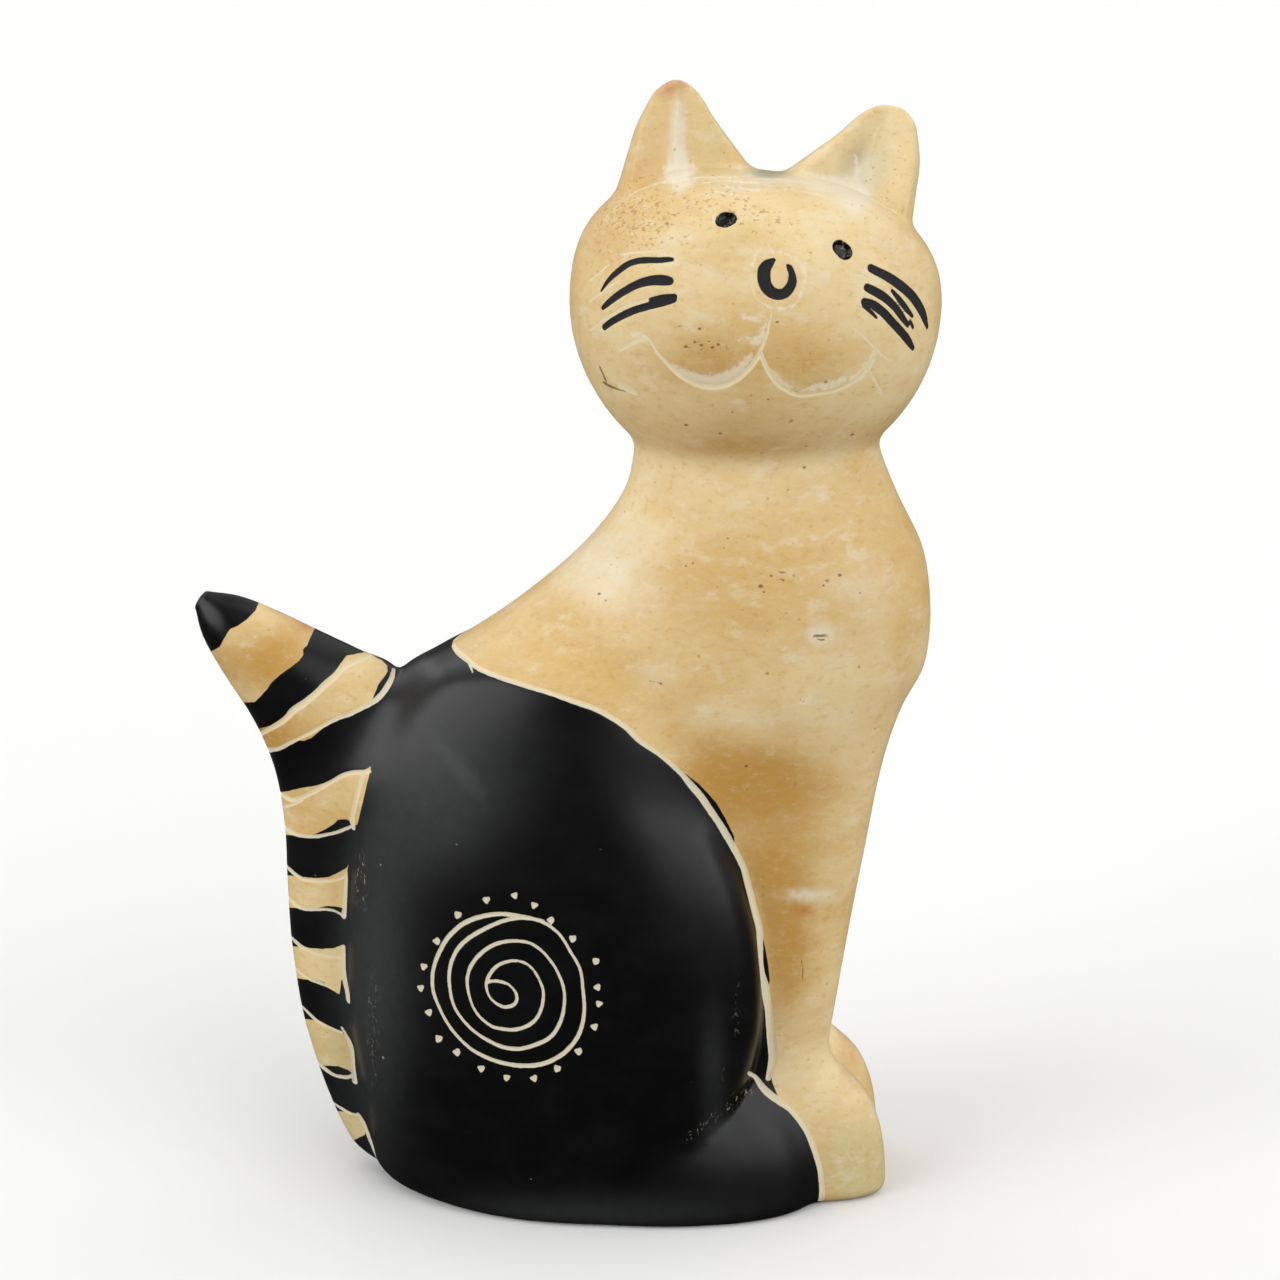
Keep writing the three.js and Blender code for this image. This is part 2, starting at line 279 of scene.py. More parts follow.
@dataclass(frozen=True)
class Tail:
    """The tail: a horn that curves up from the ground and back, given by its two outlines."""

    outside_x: tuple = (
        -49.8, -48.8, -45.8, -43.1, -41, -39.6, -38.8, -38.6, -38.1, -36.6, -32.4, -26.5,
    )
    outside_z: tuple = (80.4, 76.6, 71, 66.6, 62, 57, 50, 42.2, 32, 20.5, 7.5, -3)
    inside_x: tuple = (-48.1, -43.8, -39, -34, -28.5, -23, -21, -21, -21, -21, -20, -18)
    inside_z: tuple = (83, 82.2, 80.2, 77.7, 75, 72, 64, 52, 38, 25, 10, -2)
    half_width: tuple = (1.2, 3.2, 4.6, 5.5, 6.1, 6.4, 6.5, 6.3, 6, 5.4, 4.3, 3)
    tip_rounding: float = 0.5
    fineness: int = 120

    def sections(self) -> tuple[Array, ...]:
        """Gives the oval sections from the tip down.

        Returns:
            Their middles as (x, z) rows, the ways to their outer ends, the ways onward, and half
            the depth and half the width of each.
        """
        stations = tuple(range(len(self.half_width)))
        t = np.linspace(0, stations[-1], self.fineness)
        outlines = ((self.outside_x, self.outside_z), (self.inside_x, self.inside_z))
        outside, inside = (
            np.stack([smooth_through(stations, values, t) for values in outline], 1)
            for outline in outlines
        )
        middle = (outside + inside) / 2
        half_depth = np.linalg.norm(outside - inside, axis=1) / 2
        outward = (outside - middle) / half_depth[:, None]
        onward = np.stack([-outward[:, 1], outward[:, 0]], 1)
        onward *= np.sign((onward * np.gradient(middle, axis=0)).sum(1))[:, None]
        return middle, outward, onward, half_depth, smooth_through(stations, self.half_width, t)

    def field(self, points: Array) -> Array:
        """Works out the tail's field: each place is read in the oval section whose plane passes
        through it, found where the place is past one section and not yet past the next. The
        field is the oval's norm less one, over the norm's slope. Past the tip the oval shrinks as
        an egg whose half length is the tip's rounding.

        Args:
            points: places in millimetres, one row each.

        Returns:
            About the distance from the tail's surface, negative inside.
        """
        middle, outward, onward, depths, widths = self.sections()
        flat = points[:, [0, 2]]
        best = np.full(len(points), np.inf)
        depth, width = np.full(len(points), depths[-1]), np.full(len(points), widths[-1])
        past = np.zeros(len(points))
        was_ahead = was_along = None
        for i in range(len(middle)):
            ahead, along = (flat - middle[i]) @ onward[i], (flat - middle[i]) @ outward[i]
            if i == 0:
                tip_ahead, tip_along = ahead, along
            else:
                fall = np.where(was_ahead == ahead, 1, was_ahead - ahead)
                share = np.clip(was_ahead / fall, 0, 1)
                at = np.abs(was_along + share * (along - was_along))
                found = (was_ahead >= 0) & (ahead < 0) & (at < best)
                best[found] = at[found]
                depth[found] = (depths[i - 1] + share * (depths[i] - depths[i - 1]))[found]
                width[found] = (widths[i - 1] + share * (widths[i] - widths[i - 1]))[found]
            was_ahead, was_along = ahead, along
        missed = np.isinf(best)
        before = missed & (tip_ahead < 0)
        best[missed] = np.abs(was_along[missed])
        best[before] = np.abs(tip_along[before])
        depth[before], width[before] = depths[0], widths[0]
        past[before] = -tip_ahead[before]
        a, b, c = best / depth, np.abs(points[:, 1]) / width, past / self.tip_rounding
        norm = np.maximum(np.sqrt(a**2 + b**2 + c**2), SMALL)
        slope = np.sqrt((a / depth) ** 2 + (b / width) ** 2 + (c / self.tip_rounding) ** 2) / norm
        return (norm - 1) / np.maximum(slope, LEAST_SLOPE)


@dataclass(frozen=True)
class Ear:
    """An ear: a blade that narrows to a rounded tip, hollowed in front by two flats that meet in a
    valley. Side is 1 for the cat's left ear and -1 for its right. Places are read in the head's
    frame."""

    side: int
    root: float = 8.0
    crown: float = 16.6
    tip: float = 26.6
    tip_rounding: float = 2.7
    tip_ease: float = 4.0  # how softly the blade stops narrowing near the tip
    tip_stop: float = 0.4  # and where, as a share of the rounding below the tip
    inner_edge: float = 3.1
    inner_slope: float = 0.88
    outer_edge: float = 18.9
    outer_slope: float = 0.0
    outer_curve: float = 0.042
    straight_to: float = 18.5
    shift: float = -0.6
    roundness: float = 2.3
    depth: float = 6.5
    depth_taper: float = 0.36
    forward: float = 2.5
    forward_slope: float = 0.14
    valley_root: Triple = (11.2, 13.0, 3.9)  # sideways, level, forward
    valley_tip: Triple = (14.5, 30.0, 4.7)
    valley_slope: float = 0.42
    valley_softness: float = 0.2
    ridge: float = 0.45
    foot_rounding: float = 0.8

    def norm(self, points: Array) -> Array:
        """Gives how far out a place is in the oval section at its level.

        Args:
            points: places in the head's frame, one row each.

        Returns:
            1 on the outline, less inside.
        """
        stop = self.tip - self.tip_stop * self.tip_rounding
        level = np.maximum(joined(points[:, 2], stop, self.tip_ease), self.root)
        above = level - self.crown
        inner = self.inner_edge + self.inner_slope * above
        outer = self.outer_edge - self.outer_slope * above
        outer = outer - self.outer_curve * np.maximum(level - self.straight_to, 0) ** 2
        depth = self.depth - self.depth_taper * above
        forward = self.forward + self.forward_slope * above
        middle = self.shift + self.side * (outer + inner) / 2
        a = np.abs(points[:, 0] - middle) / ((outer - inner) / 2)
        return oval(a, np.abs(points[:, 1] + forward) / depth, self.roundness)

    def field(self, points: Array) -> Array:
        """Works out the ear's field: the blade, rounded over at the tip, ended inside the skull
        and cut by the wedge of the hollow, whose depth grows with the distance from its valley.

        Args:
            points: places in the head's frame, one row each.

        Returns:
            About the distance from the ear's surface, negative inside.
        """
        level = points[:, 2]
        blade = cut_round(by_slope(self.norm, points), level - self.tip, self.tip_rounding)
        blade = cut(blade, self.root - level, self.foot_rounding)
        root, tip = self.valley_root, self.valley_tip
        along = (level - root[1]) / (tip[1] - root[1])
        sideways = self.shift + self.side * (root[0] + along * (tip[0] - root[0]))
        forward = root[2] + along * (tip[2] - root[2])
        off = np.hypot(points[:, 0] - sideways, self.valley_softness)
        hollow = -points[:, 1] - forward - self.valley_slope * off
        hollow = hollow / math.hypot(1, self.valley_slope)
        return cut(blade, hollow, self.ridge)


RIGHT_EAR = Ear(
    -1, tip=26.2, inner_edge=2.5, inner_slope=1.01, outer_edge=18.4, outer_slope=0.15,
    valley_tip=(13.5, 30.0, 4.7),
)
LEFT_EAR = Ear(1, inner_edge=1.95, inner_slope=1.1, outer_edge=19.25)


@dataclass(frozen=True)
class Head:
    """The head: a round skull with two ears, turned towards the cat's right. In its own frame X
    runs to the cat's left cheek, Z to the crown, and the face looks along -Y."""

    place: Triple = (24.6, 0.0, 122.0)
    turn: float = 3.8
    lift: float = 12.0
    tilt: float = 8.0
    skull: Lobe = Lobe((0, 0, 0), 24.2, 19.5, 16.6, 23.7, 2.15, 2.38, 2.0)
    ears: tuple[Ear, Ear] = (RIGHT_EAR, LEFT_EAR)
    ear_root: float = 0.9

    def field(self, points: Array) -> Array:
        """Joins the skull and the ears, read in the head's frame.

        Args:
            points: places in millimetres, one row each.

        Returns:
            About the distance from the head's surface, negative inside.
        """
        frame = turned(2, self.turn) @ turned(0, -self.lift) @ turned(1, self.tilt)
        own = (points - np.array(self.place)) @ frame
        made = self.skull.field(own)
        for ear in self.ears:
            made = joined(made, ear.field(own), self.ear_root)
        return made


@dataclass(frozen=True)
class Stone:
    """The whole cat as one blended field. A join is how softly two parts flow together."""

    trunk: Trunk = Trunk()
    thigh: Lobe = Lobe(
        (-2.3, -9.5, 30), 28.6, 11, 44.5, 31, 2.15, 2.1, 2.1, toe_out=12.5, bend=-0.003
    )
    rump: Lobe = Lobe((-4, -9.3, 0), 23, 10, 44, 44, 2.0, 2.6, 2.6, toe_out=15)
    hind_foot: Lobe = Lobe((16, -12, 0), 18, 8.9, 21, 21, 2.2, 2.0, 2.0, toe_out=-6)
    foreleg: Lobe = Lobe((24.2, -6.2, 15), 9.8, 6.4, 64, 40, 2.3, 3.0, 3.0, lean=0.175)
    forepaw: Lobe = Lobe((30, -6.8, 0), 13.4, 6.7, 18.8, 18.8, 2.7, 2.6, 2.6)
    tail: Tail = Tail()
    head: Head = Head()
    paw_join: float = 4.5
    rump_join: float = 4.0
    hind_foot_join: float = 0.8
    forelegs_join: float = 0.8
    haunches_join: float = 3.0
    chest_join: float = 5.0
    head_join: float = 1.7
    flank_join: Pair = (2.0, 6.0)  # everywhere, and more high on the back
    flank_rise: Pair = (50.0, 70.0)
    flank_run: Pair = (-26.0, 2.0)
    tail_join: Pair = (1.5, 5.0)  # everywhere, and more high on its sides
    tail_rise: Pair = (46.0, 60.0)
    tail_sides: Pair = (1.5, 7.0)
    base_edge: Pair = (1.7, 3.0)  # everywhere, and more at the back
    base_run: Pair = (-5.0, -32.0)
    trunk_below: float = 116.0
    limbs_below: float = 92.0
    tail_below: float = 90.0
    tail_behind: float = -8.0
    head_above: float = 85.0
    waviness: float = 0.05
    low: Triple = (-52.0, -24.5, -2.0)
    high: Triple = (51.0, 24.5, 153.0)

    def leg(self, points: Array, side: int) -> Array:
        """Gives the field of the foreleg and its paw on side 1 or -1."""
        upper, paw = self.foreleg.field(points, side), self.forepaw.field(points, side)
        return joined(upper, paw, self.paw_join)

    def haunch(self, points: Array, side: int) -> Array:
        """Gives the field of the haunch and its hind foot on side 1 or -1."""
        thigh, rump, foot = (
            lobe.field(points, side) for lobe in (self.thigh, self.rump, self.hind_foot)
        )
        return joined(joined(thigh, rump, self.rump_join), foot, self.hind_foot_join)

    def legs_behind_haunches(self, points: Array) -> Array:
        """Gives how much nearer a place is to the haunches than to the forelegs."""
        near = [np.minimum(limb(points, 1), limb(points, -1)) for limb in (self.leg, self.haunch)]
        return near[0] - near[1]

    def pair(self, limb: Callable, points: Array, near: Array, join: float) -> Array:
        """Joins a limb of the right side and the same one of the left.

        Args:
            limb: gives the limb's field at some points on a side.
            points: places in millimetres, one row each.
            near: which of them the limbs reach.
            join: how softly the two flow together.

        Returns:
            The field of both.
        """
        right, left = (part_of(lambda p: limb(p, side), points, near) for side in (1, -1))
        return joined(right, left, join)

    def waves(self, points: Array) -> Array:
        """Gives the unevenness that hand carving leaves: slow sine waves, multiplied and added.

        Args:
            points: places in millimetres, one row each.

        Returns:
            Their heights, about a tenth of a millimetre at most.
        """
        x, y, z = points.T
        slow = np.sin(x / 6.1 + 0.7) * np.sin(z / 7.3 + 0.3 * y) + np.sin(z / 4.9 + x / 8.7 + 1.9)
        return self.waviness * (slow + 0.6 * np.sin(y / 3.7 + z / 11.0) * np.sin(x / 5.2 - z / 6.6))

    def field(self, points: Array) -> Array:
        """Blends the parts: legs with trunk, then haunches, tail and head, then the flat ground.

        Args:
            points: places in millimetres, one row each.

        Returns:
            About the distance from the surface, negative inside.
        """
        x, y, z = points.T
        made = part_of(self.trunk.field, points, z < self.trunk_below)
        below = z < self.limbs_below
        made = joined(made, self.pair(self.leg, points, below, self.forelegs_join), self.chest_join)
        plain, more = self.flank_join
        flank = plain + more * eased(*self.flank_rise, z) * eased(*self.flank_run, x)
        made = joined(made, self.pair(self.haunch, points, below, self.haunches_join), flank)
        plain, more = self.tail_join
        root = plain + more * eased(*self.tail_rise, z) * eased(*self.tail_sides, np.abs(y))
        reached = (x < self.tail_behind) & (z < self.tail_below)
        made = joined(made, part_of(self.tail.field, points, reached), root)
        head = part_of(self.head.field, points, z > self.head_above)
        made = joined(made, head, self.head_join)
        plain, more = self.base_edge
        return cut_round(made, -z, plain + more * eased(*self.base_run, x)) + self.waves(points)


def part_of(field: Field, points: Array, near: Array, far: float = 30.0) -> Array:
    """Reads a field only where it matters, and takes a fixed distance elsewhere.

    Args:
        field: the field.
        points: places in millimetres, one row each.
        near: which of them to read.
        far: the distance taken for the others.

    Returns:
        The field's values.
    """
    made = np.full(len(points), far)
    if near.any():
        made[near] = field(points[near])
    return made


# The skin of a field


CORNERS = np.array([(i, j, k) for i in (0, 1) for j in (0, 1) for k in (0, 1)])
CUBE_EDGES = [
    (a, b) for a in range(8) for b in range(a + 1, 8) if np.abs(CORNERS[a] - CORNERS[b]).sum() == 1
]


@dataclass
class Skin:
    """A closed mesh of triangles on the surface of a field."""

    field: Field
    points: Array
    triangles: Array
    longest_move: float = 0.5  # millimetres at a time, towards the surface
    least_square: float = 0.05  # of the slope
    too_long: float = 1.4  # an edge is split beyond this many times the length wanted
    nearing: float = 0.25  # share of an edge's length by which its middle may want shorter ones

    @classmethod
    def around(cls, field: Field, low: tuple, high: tuple, step: float) -> "Skin":
        """Draws the surface on a regular grid. A cell that the surface passes through gets one
        point, the mean of the places where its twelve edges meet the surface, and each grid edge
        that crosses the surface gets a face between its four cells.

        A blended block has no two parameters that run over all of it, so it is made this way and
        not as one grid of rows and columns.

        Args:
            field: the field.
            low: the lowest corner of the grid.
            high: the highest corner.
            step: the size of a cell.

        Returns:
            The skin, with its points on the surface.
        """
        counts = np.ceil((np.array(high) - np.array(low)) / step).astype(int) + 1
        lines = [low[i] + step * np.arange(counts[i]) for i in range(3)]
        grid = np.stack(np.meshgrid(*lines, indexing="ij"), -1).reshape(-1, 3)
        values = field(grid).reshape(counts)
        part = (slice(0, -1), slice(1, None))
        around = np.stack([values[part[i], part[j], part[k]] for i, j, k in CORNERS], -1)
        inside = (around < 0).sum(-1)
        crossed = (inside > 0) & (inside < 8)
        number = np.full(crossed.shape, -1)
        number[crossed] = np.arange(crossed.sum())
        around = around[crossed]
        total, hits = np.zeros((len(around), 3)), np.zeros((len(around), 1))
        for a, b in CUBE_EDGES:
            first, second = around[:, a], around[:, b]
            meets = (first < 0) != (second < 0)
            share = np.where(meets, first / np.where(meets, first - second, 1), 0)[:, None]
            total += (CORNERS[a] + share * (CORNERS[b] - CORNERS[a])) * meets[:, None]
            hits += meets[:, None]
        points = np.array(low) + step * (np.argwhere(crossed) + total / hits)
        quads = np.concatenate([cls._faces_across(values, number, axis) for axis in range(3)])
        slim = np.linalg.norm(points[quads[:, 0]] - points[quads[:, 2]], axis=1)
        wide = np.linalg.norm(points[quads[:, 1]] - points[quads[:, 3]], axis=1)
        turned_quads = np.where((wide < slim)[:, None], np.roll(quads, -1, 1), quads)
        triangles = np.concatenate([turned_quads[:, [0, 1, 2]], turned_quads[:, [0, 2, 3]]])
        skin = cls(field, points, triangles)
        skin.points = skin.settled(points, 4)
        return skin

    @staticmethod
    def _faces_across(values: Array, number: Array, axis: int) -> Array:
        """Gives the faces across the grid edges that run along one axis.

        Args:
            values: the field at the grid's points.
            number: the number of each cell's point.
            axis: the axis that the edges follow.

        Returns:
            Four point numbers for each face, facing out of the stone.
        """
        second, third = (axis + 1) % 3, (axis + 2) % 3
        start, end = [slice(1, -1)] * 3, [slice(1, -1)] * 3
        start[axis], end[axis] = slice(0, -1), slice(1, None)
        from_inside = values[tuple(start)] < 0
        found = from_inside != (values[tuple(end)] < 0)
        base = np.argwhere(found)
        base[:, [second, third]] += 1
        corners = []
        for a, b in ((-1, -1), (0, -1), (0, 0), (-1, 0)):
            cell = base.copy()
            cell[:, second] += a
            cell[:, third] += b
            corners.append(number[tuple(cell.T)])
        quads = np.stack(corners, 1)
        return np.where(from_inside[found][:, None], quads, quads[:, ::-1])

    def slope(self, points: Array, step: float = 0.05) -> Array:
        """Gives the field's slope at each place, from small steps both ways along each axis."""
        rises = [self.field(points + step * a) - self.field(points - step * a) for a in np.eye(3)]
        return np.stack(rises, 1) / (2 * step)

    def settled(self, points: Array, rounds: int) -> Array:
        """Moves places onto the surface: each is moved back along the slope by the field's value
        over the slope's square, a short way at most each time.

        Args:
            points: places near the surface.
            rounds: how many times to do it.

        Returns:
            The moved places.
        """
        made = points.copy()
        for _ in range(rounds):
            slope = self.slope(made)
            square = np.maximum((slope**2).sum(1), self.least_square)
            move = -(self.field(made) / square)[:, None] * slope
            length = np.linalg.norm(move, axis=1, keepdims=True)
            made += move * np.minimum(1, self.longest_move / np.maximum(length, TINY))
        return made

    def relaxed(self, rounds: int) -> "Skin":
        """Evens out the triangles: each point moves halfway to the mean of its neighbours, and back
        onto the surface.

        Args:
            rounds: how many times to do it.

        Returns:
            This skin.
        """
        ends = np.concatenate([self.triangles[:, pair] for pair in ([0, 1], [1, 2], [2, 0])])
        count = len(self.points)
        neighbours = np.bincount(ends[:, 0], minlength=count)[:, None]
        for _ in range(rounds):
            total = [np.bincount(ends[:, 0], self.points[ends[:, 1], i], count) for i in range(3)]
            self.points = self.settled(0.5 * self.points + 0.5 * np.stack(total, 1) / neighbours, 2)
        return self

    def face_normals(self) -> Array:
        """Works out each triangle's normal: the cross product of two sides, over its length.

        Returns:
            The unit normals.
        """
        a, b, c = (self.points[self.triangles[:, i]] for i in range(3))
        normal = np.cross(b - a, c - a)
        return normal / np.maximum(np.linalg.norm(normal, axis=1, keepdims=True), TINY)

    def divided(self, sizes: Field, bend: float, finest: float, shortest: float) -> "Skin":
        """Splits long edges once. An edge is split where it is longer than the size wanted at its
        ends, or where its two triangles bend apart. A triangle with a split edge also splits its
        longest one, so the triangles keep their shape.

        Args:
            sizes: gives the edge length wanted at each place.
            bend: an edge whose triangles' normals differ by more than this cosine drop is split.
            finest: no edge shorter than this is split for its bend.
            shortest: the shortest edge length wanted anywhere.

        Returns:
            This skin.
        """
        count, faces = len(self.points), len(self.triangles)
        edges = np.stack([self.triangles, np.roll(self.triangles, -1, 1)], -1)
        low, high = edges.min(-1), edges.max(-1)
        keys, which = np.unique(low * count + high, return_inverse=True)
        which = which.reshape(faces, 3)
        ends = np.stack([keys // count, keys % count], 1)
        length = np.linalg.norm(self.points[ends[:, 0]] - self.points[ends[:, 1]], axis=1)
        wanted = sizes(self.points)[ends].min(1)
        normals = np.repeat(self.face_normals(), 3, 0)
        total = np.stack([np.bincount(which.ravel(), part, len(keys)) for part in normals.T], 1)
        bent = (1 - np.linalg.norm(total, axis=1) / 2 > bend) & (length > finest)
        wanted = np.maximum(wanted - self.nearing * length, shortest)
        marked = (length > self.too_long * wanted) | bent
        longest = which[np.arange(faces), length[which].argmax(1)]
        while True:
            missing = marked[which].any(1) & ~marked[longest]
            if not missing.any():
                break
            marked[longest[missing]] = True
        middle = np.full(len(keys), -1)
        middle[marked] = count + np.arange(marked.sum())
        fresh = self.settled(self.points[ends[marked]].mean(1), 2)
        order = (np.arange(3) + length[which].argmax(1)[:, None]) % 3
        corner = np.take_along_axis(self.triangles, order, 1)
        half = middle[np.take_along_axis(which, order, 1)]
        a, b, c, x, y, z = *corner.T, *half.T
        kinds = {
            (False, False, False): [(a, b, c)],
            (True, False, False): [(a, x, c), (x, b, c)],
            (True, True, False): [(a, x, c), (x, b, y), (x, y, c)],
            (True, False, True): [(x, b, c), (a, x, z), (x, c, z)],
            (True, True, True): [(a, x, z), (x, b, y), (z, y, c), (x, y, z)],
        }
        made = []
        for kind, pieces in kinds.items():
            rows = ((half >= 0) == np.array(kind)).all(1)
            made += [np.stack(piece, 1)[rows] for piece in pieces]
        self.points = np.concatenate([self.points, fresh])
        self.triangles = np.concatenate(made)
        return self


# What is drawn on the stone


@dataclass(frozen=True)
class Sheet:
    """The sheet that the drawings are made on: it goes through the target, square to a line of
    sight that comes from the cat's right and looks down. A place on it is given across and up from
    the target, in millimetres."""

    target: Triple = (9.6, 0.0, 76.2)
    height: float = 15.0  # degrees that it is looked down on
    distance: float = 405.0
    before: float = 75.0  # how far before the target a line of sight is followed from
    behind: float = 45.0  # and how far behind it, when it has missed the stone
    strides: int = 60
    stride_share: float = 0.8  # of the distance from the stone
    stride_limits: Pair = (-0.5, 6.0)

    def axes(self) -> Array:
        """Gives the directions across, up and towards the eye, one row each."""
        c, s = math.cos(math.radians(self.height)), math.sin(math.radians(self.height))
        return np.array([[1, 0, 0], [0, s, c], [0, -c, s]])

    def eye(self) -> Array:
        """Gives the place that the sheet is seen from."""
        return np.array(self.target) + self.distance * self.axes()[2]

    def seen(self, points: Array) -> Array:
        """Gives where places are seen on the sheet. The cat's left is read as its right.

        Args:
            points: places in millimetres, one row each.

        Returns:
            Across and up, one row each.
        """
        mirrored = points * [1, -1, 1]
        near = np.where(points[:, 1:2] > 0, mirrored, points)
        across, up, towards = ((near - self.target) @ self.axes().T).T
        scale = self.distance / (self.distance - towards)
        return np.stack([across * scale, up * scale], 1)

    def cast(self, places: Array, skin: Skin) -> Array:
        """Puts places of the sheet onto the stone along the lines of sight. A line that misses the
        stone gives the nearest place of its middle plane, moved onto the surface.

        Args:
            places: across and up, one row each.
            skin: the stone's skin.

        Returns:
            Places on the stone.
        """
        across, up, _ = self.axes()
        aims = np.array(self.target) + places[:, :1] * across + places[:, 1:2] * up
        ways = aims - self.eye()
        ways /= np.linalg.norm(ways, axis=1, keepdims=True)
        gone = np.full(len(places), self.distance - self.before)
        limit = self.distance + self.behind
        for _ in range(self.strides):
            away = skin.field(self.eye() + gone[:, None] * ways)
            gone += np.clip(self.stride_share * away, *self.stride_limits)
            gone = np.minimum(gone, limit)
        flat = self.eye() - ways * (self.eye()[1] / ways[:, 1])[:, None]
        found = self.eye() + gone[:, None] * ways
        return skin.settled(np.where((gone >= limit - 1)[:, None], flat, found), 4)


class Mark(Enum):
    """How a line was made."""

    SCRATCH = "scratch"  # cut through the polish to the pale stone
    INK = "ink"  # filled with black
    PIT = "pit"  # drilled, and filled with a glossier black
    WORN = "worn"  # rubbed until a pale powder shows
    CRACK = "crack"  # a natural pit or crack, brown inside


@dataclass(frozen=True)
class Stroke:
    """A line on the sheet: across, up and its width there, one row for each place it passes."""

    places: tuple[Triple, ...]
    mark: Mark = Mark.SCRATCH
    depth: float = 0.14
    both_sides: bool = False

    def flowing(self, spacing: float) -> Array:
        """Runs a smooth curve through the places. Between two of them it is a cubic whose slope at
        each is half the step from the place before to the place after.

        Args:
            spacing: how far apart the rows of the result are.

        Returns:
            Across, up and width, one row each.
        """
        rows = np.array(self.places, float)
        steps = np.linalg.norm(np.diff(rows[:, :2], axis=0), axis=1)
        gone = np.concatenate([[0], np.cumsum(steps)])
        count = max(int(gone[-1] / spacing), 1) + 1
        at = np.interp(np.linspace(0, gone[-1], count), gone, np.arange(len(rows)))
        padded = np.concatenate([rows[:1], rows, rows[-1:]])
        i = np.minimum(at.astype(int), len(rows) - 2)
        t = (at - i)[:, None]
        p0, p1, p2, p3 = (padded[i + k] for k in range(4))
        return cubic(p1, p2 - p1, (p2 - p0) / 2, (p3 - p1) / 2, t)


def strokes_of(lines: tuple, mark: Mark, depth: float, swell: float = 1.0) -> list[Stroke]:
    """Makes a stroke of each line, with its widths multiplied by the swell."""
    return [Stroke(tuple((x, y, w * swell) for x, y, w in line), mark, depth) for line in lines]


def pits_of(pits: tuple, depth: float, half_length: float = 0.1) -> list[Stroke]:
    """Makes a very short crack of each pit."""
    short = tuple(((x - half_length, y, w), (x + half_length, y, w)) for x, y, w in pits)
    return strokes_of(short, Mark.CRACK, depth)


@dataclass(frozen=True)
class Patch:
    """An outline on the sheet: across and up, one row for each corner."""

    corners: tuple[Pair, ...]

    def inside(self, places: Array) -> Array:
        """Works out how far inside the outline places are: the distance to the nearest side, and
        below zero outside. A place is inside when a line from it crosses an odd number of sides.

        Args:
            places: across and up, one row each.

        Returns:
            The distances in millimetres.
        """
        starts = np.array(self.corners, float)
        ends = np.roll(starts, -1, 0)
        nearest = np.full(len(places), np.inf)
        odd = np.zeros(len(places), bool)
        for (ax, ay), (bx, by) in zip(starts, ends):
            side = np.array([bx - ax, by - ay])
            off = places - [ax, ay]
            share = np.clip(off @ side / (side @ side), 0, 1)
            nearest = np.minimum(nearest, ((off - share[:, None] * side) ** 2).sum(1))
            if ay != by:
                spans = (ay > places[:, 1]) != (by > places[:, 1])
                odd ^= spans & (places[:, 0] < ax + (places[:, 1] - ay) * (bx - ax) / (by - ay))
        return np.where(odd, 1, -1) * np.sqrt(nearest)


@dataclass(frozen=True)
class Line:
    """A stroke laid on the stone."""

    points: Array
    half_width: Array
    mark: Mark
    depth: float
    run: int = 10

    def inside(self, places: Array, reach: float) -> Array:
        """Works out how far inside the line places are: half its width less the distance to its
        middle, the largest over its pieces, read only near each run of pieces.

        Args:
            places: places in millimetres, one row each.
            reach: how far outside the line it is still worked out.

        Returns:
            The distances, minus the reach where a place is farther away.
        """
        made = np.full(len(places), -reach)
        for first in range(0, len(self.points) - 1, self.run):
            part = self.points[first : first + self.run + 1]
            half = self.half_width[first : first + self.run + 1]
            margin = reach + half.max()
            near = ((places > part.min(0) - margin) & (places < part.max(0) + margin)).all(1)
            if not near.any():
                continue
            side = np.diff(part, axis=0)
            off = places[near][:, None] - part[:-1]
            share = np.clip((off * side).sum(-1) / np.maximum((side**2).sum(-1), TINY), 0, 1)
            away = np.linalg.norm(off - share[..., None] * side, axis=-1)
            width = half[:-1] + share * np.diff(half)
            made[near] = np.maximum(made[near], (width - away).max(1))
        return made


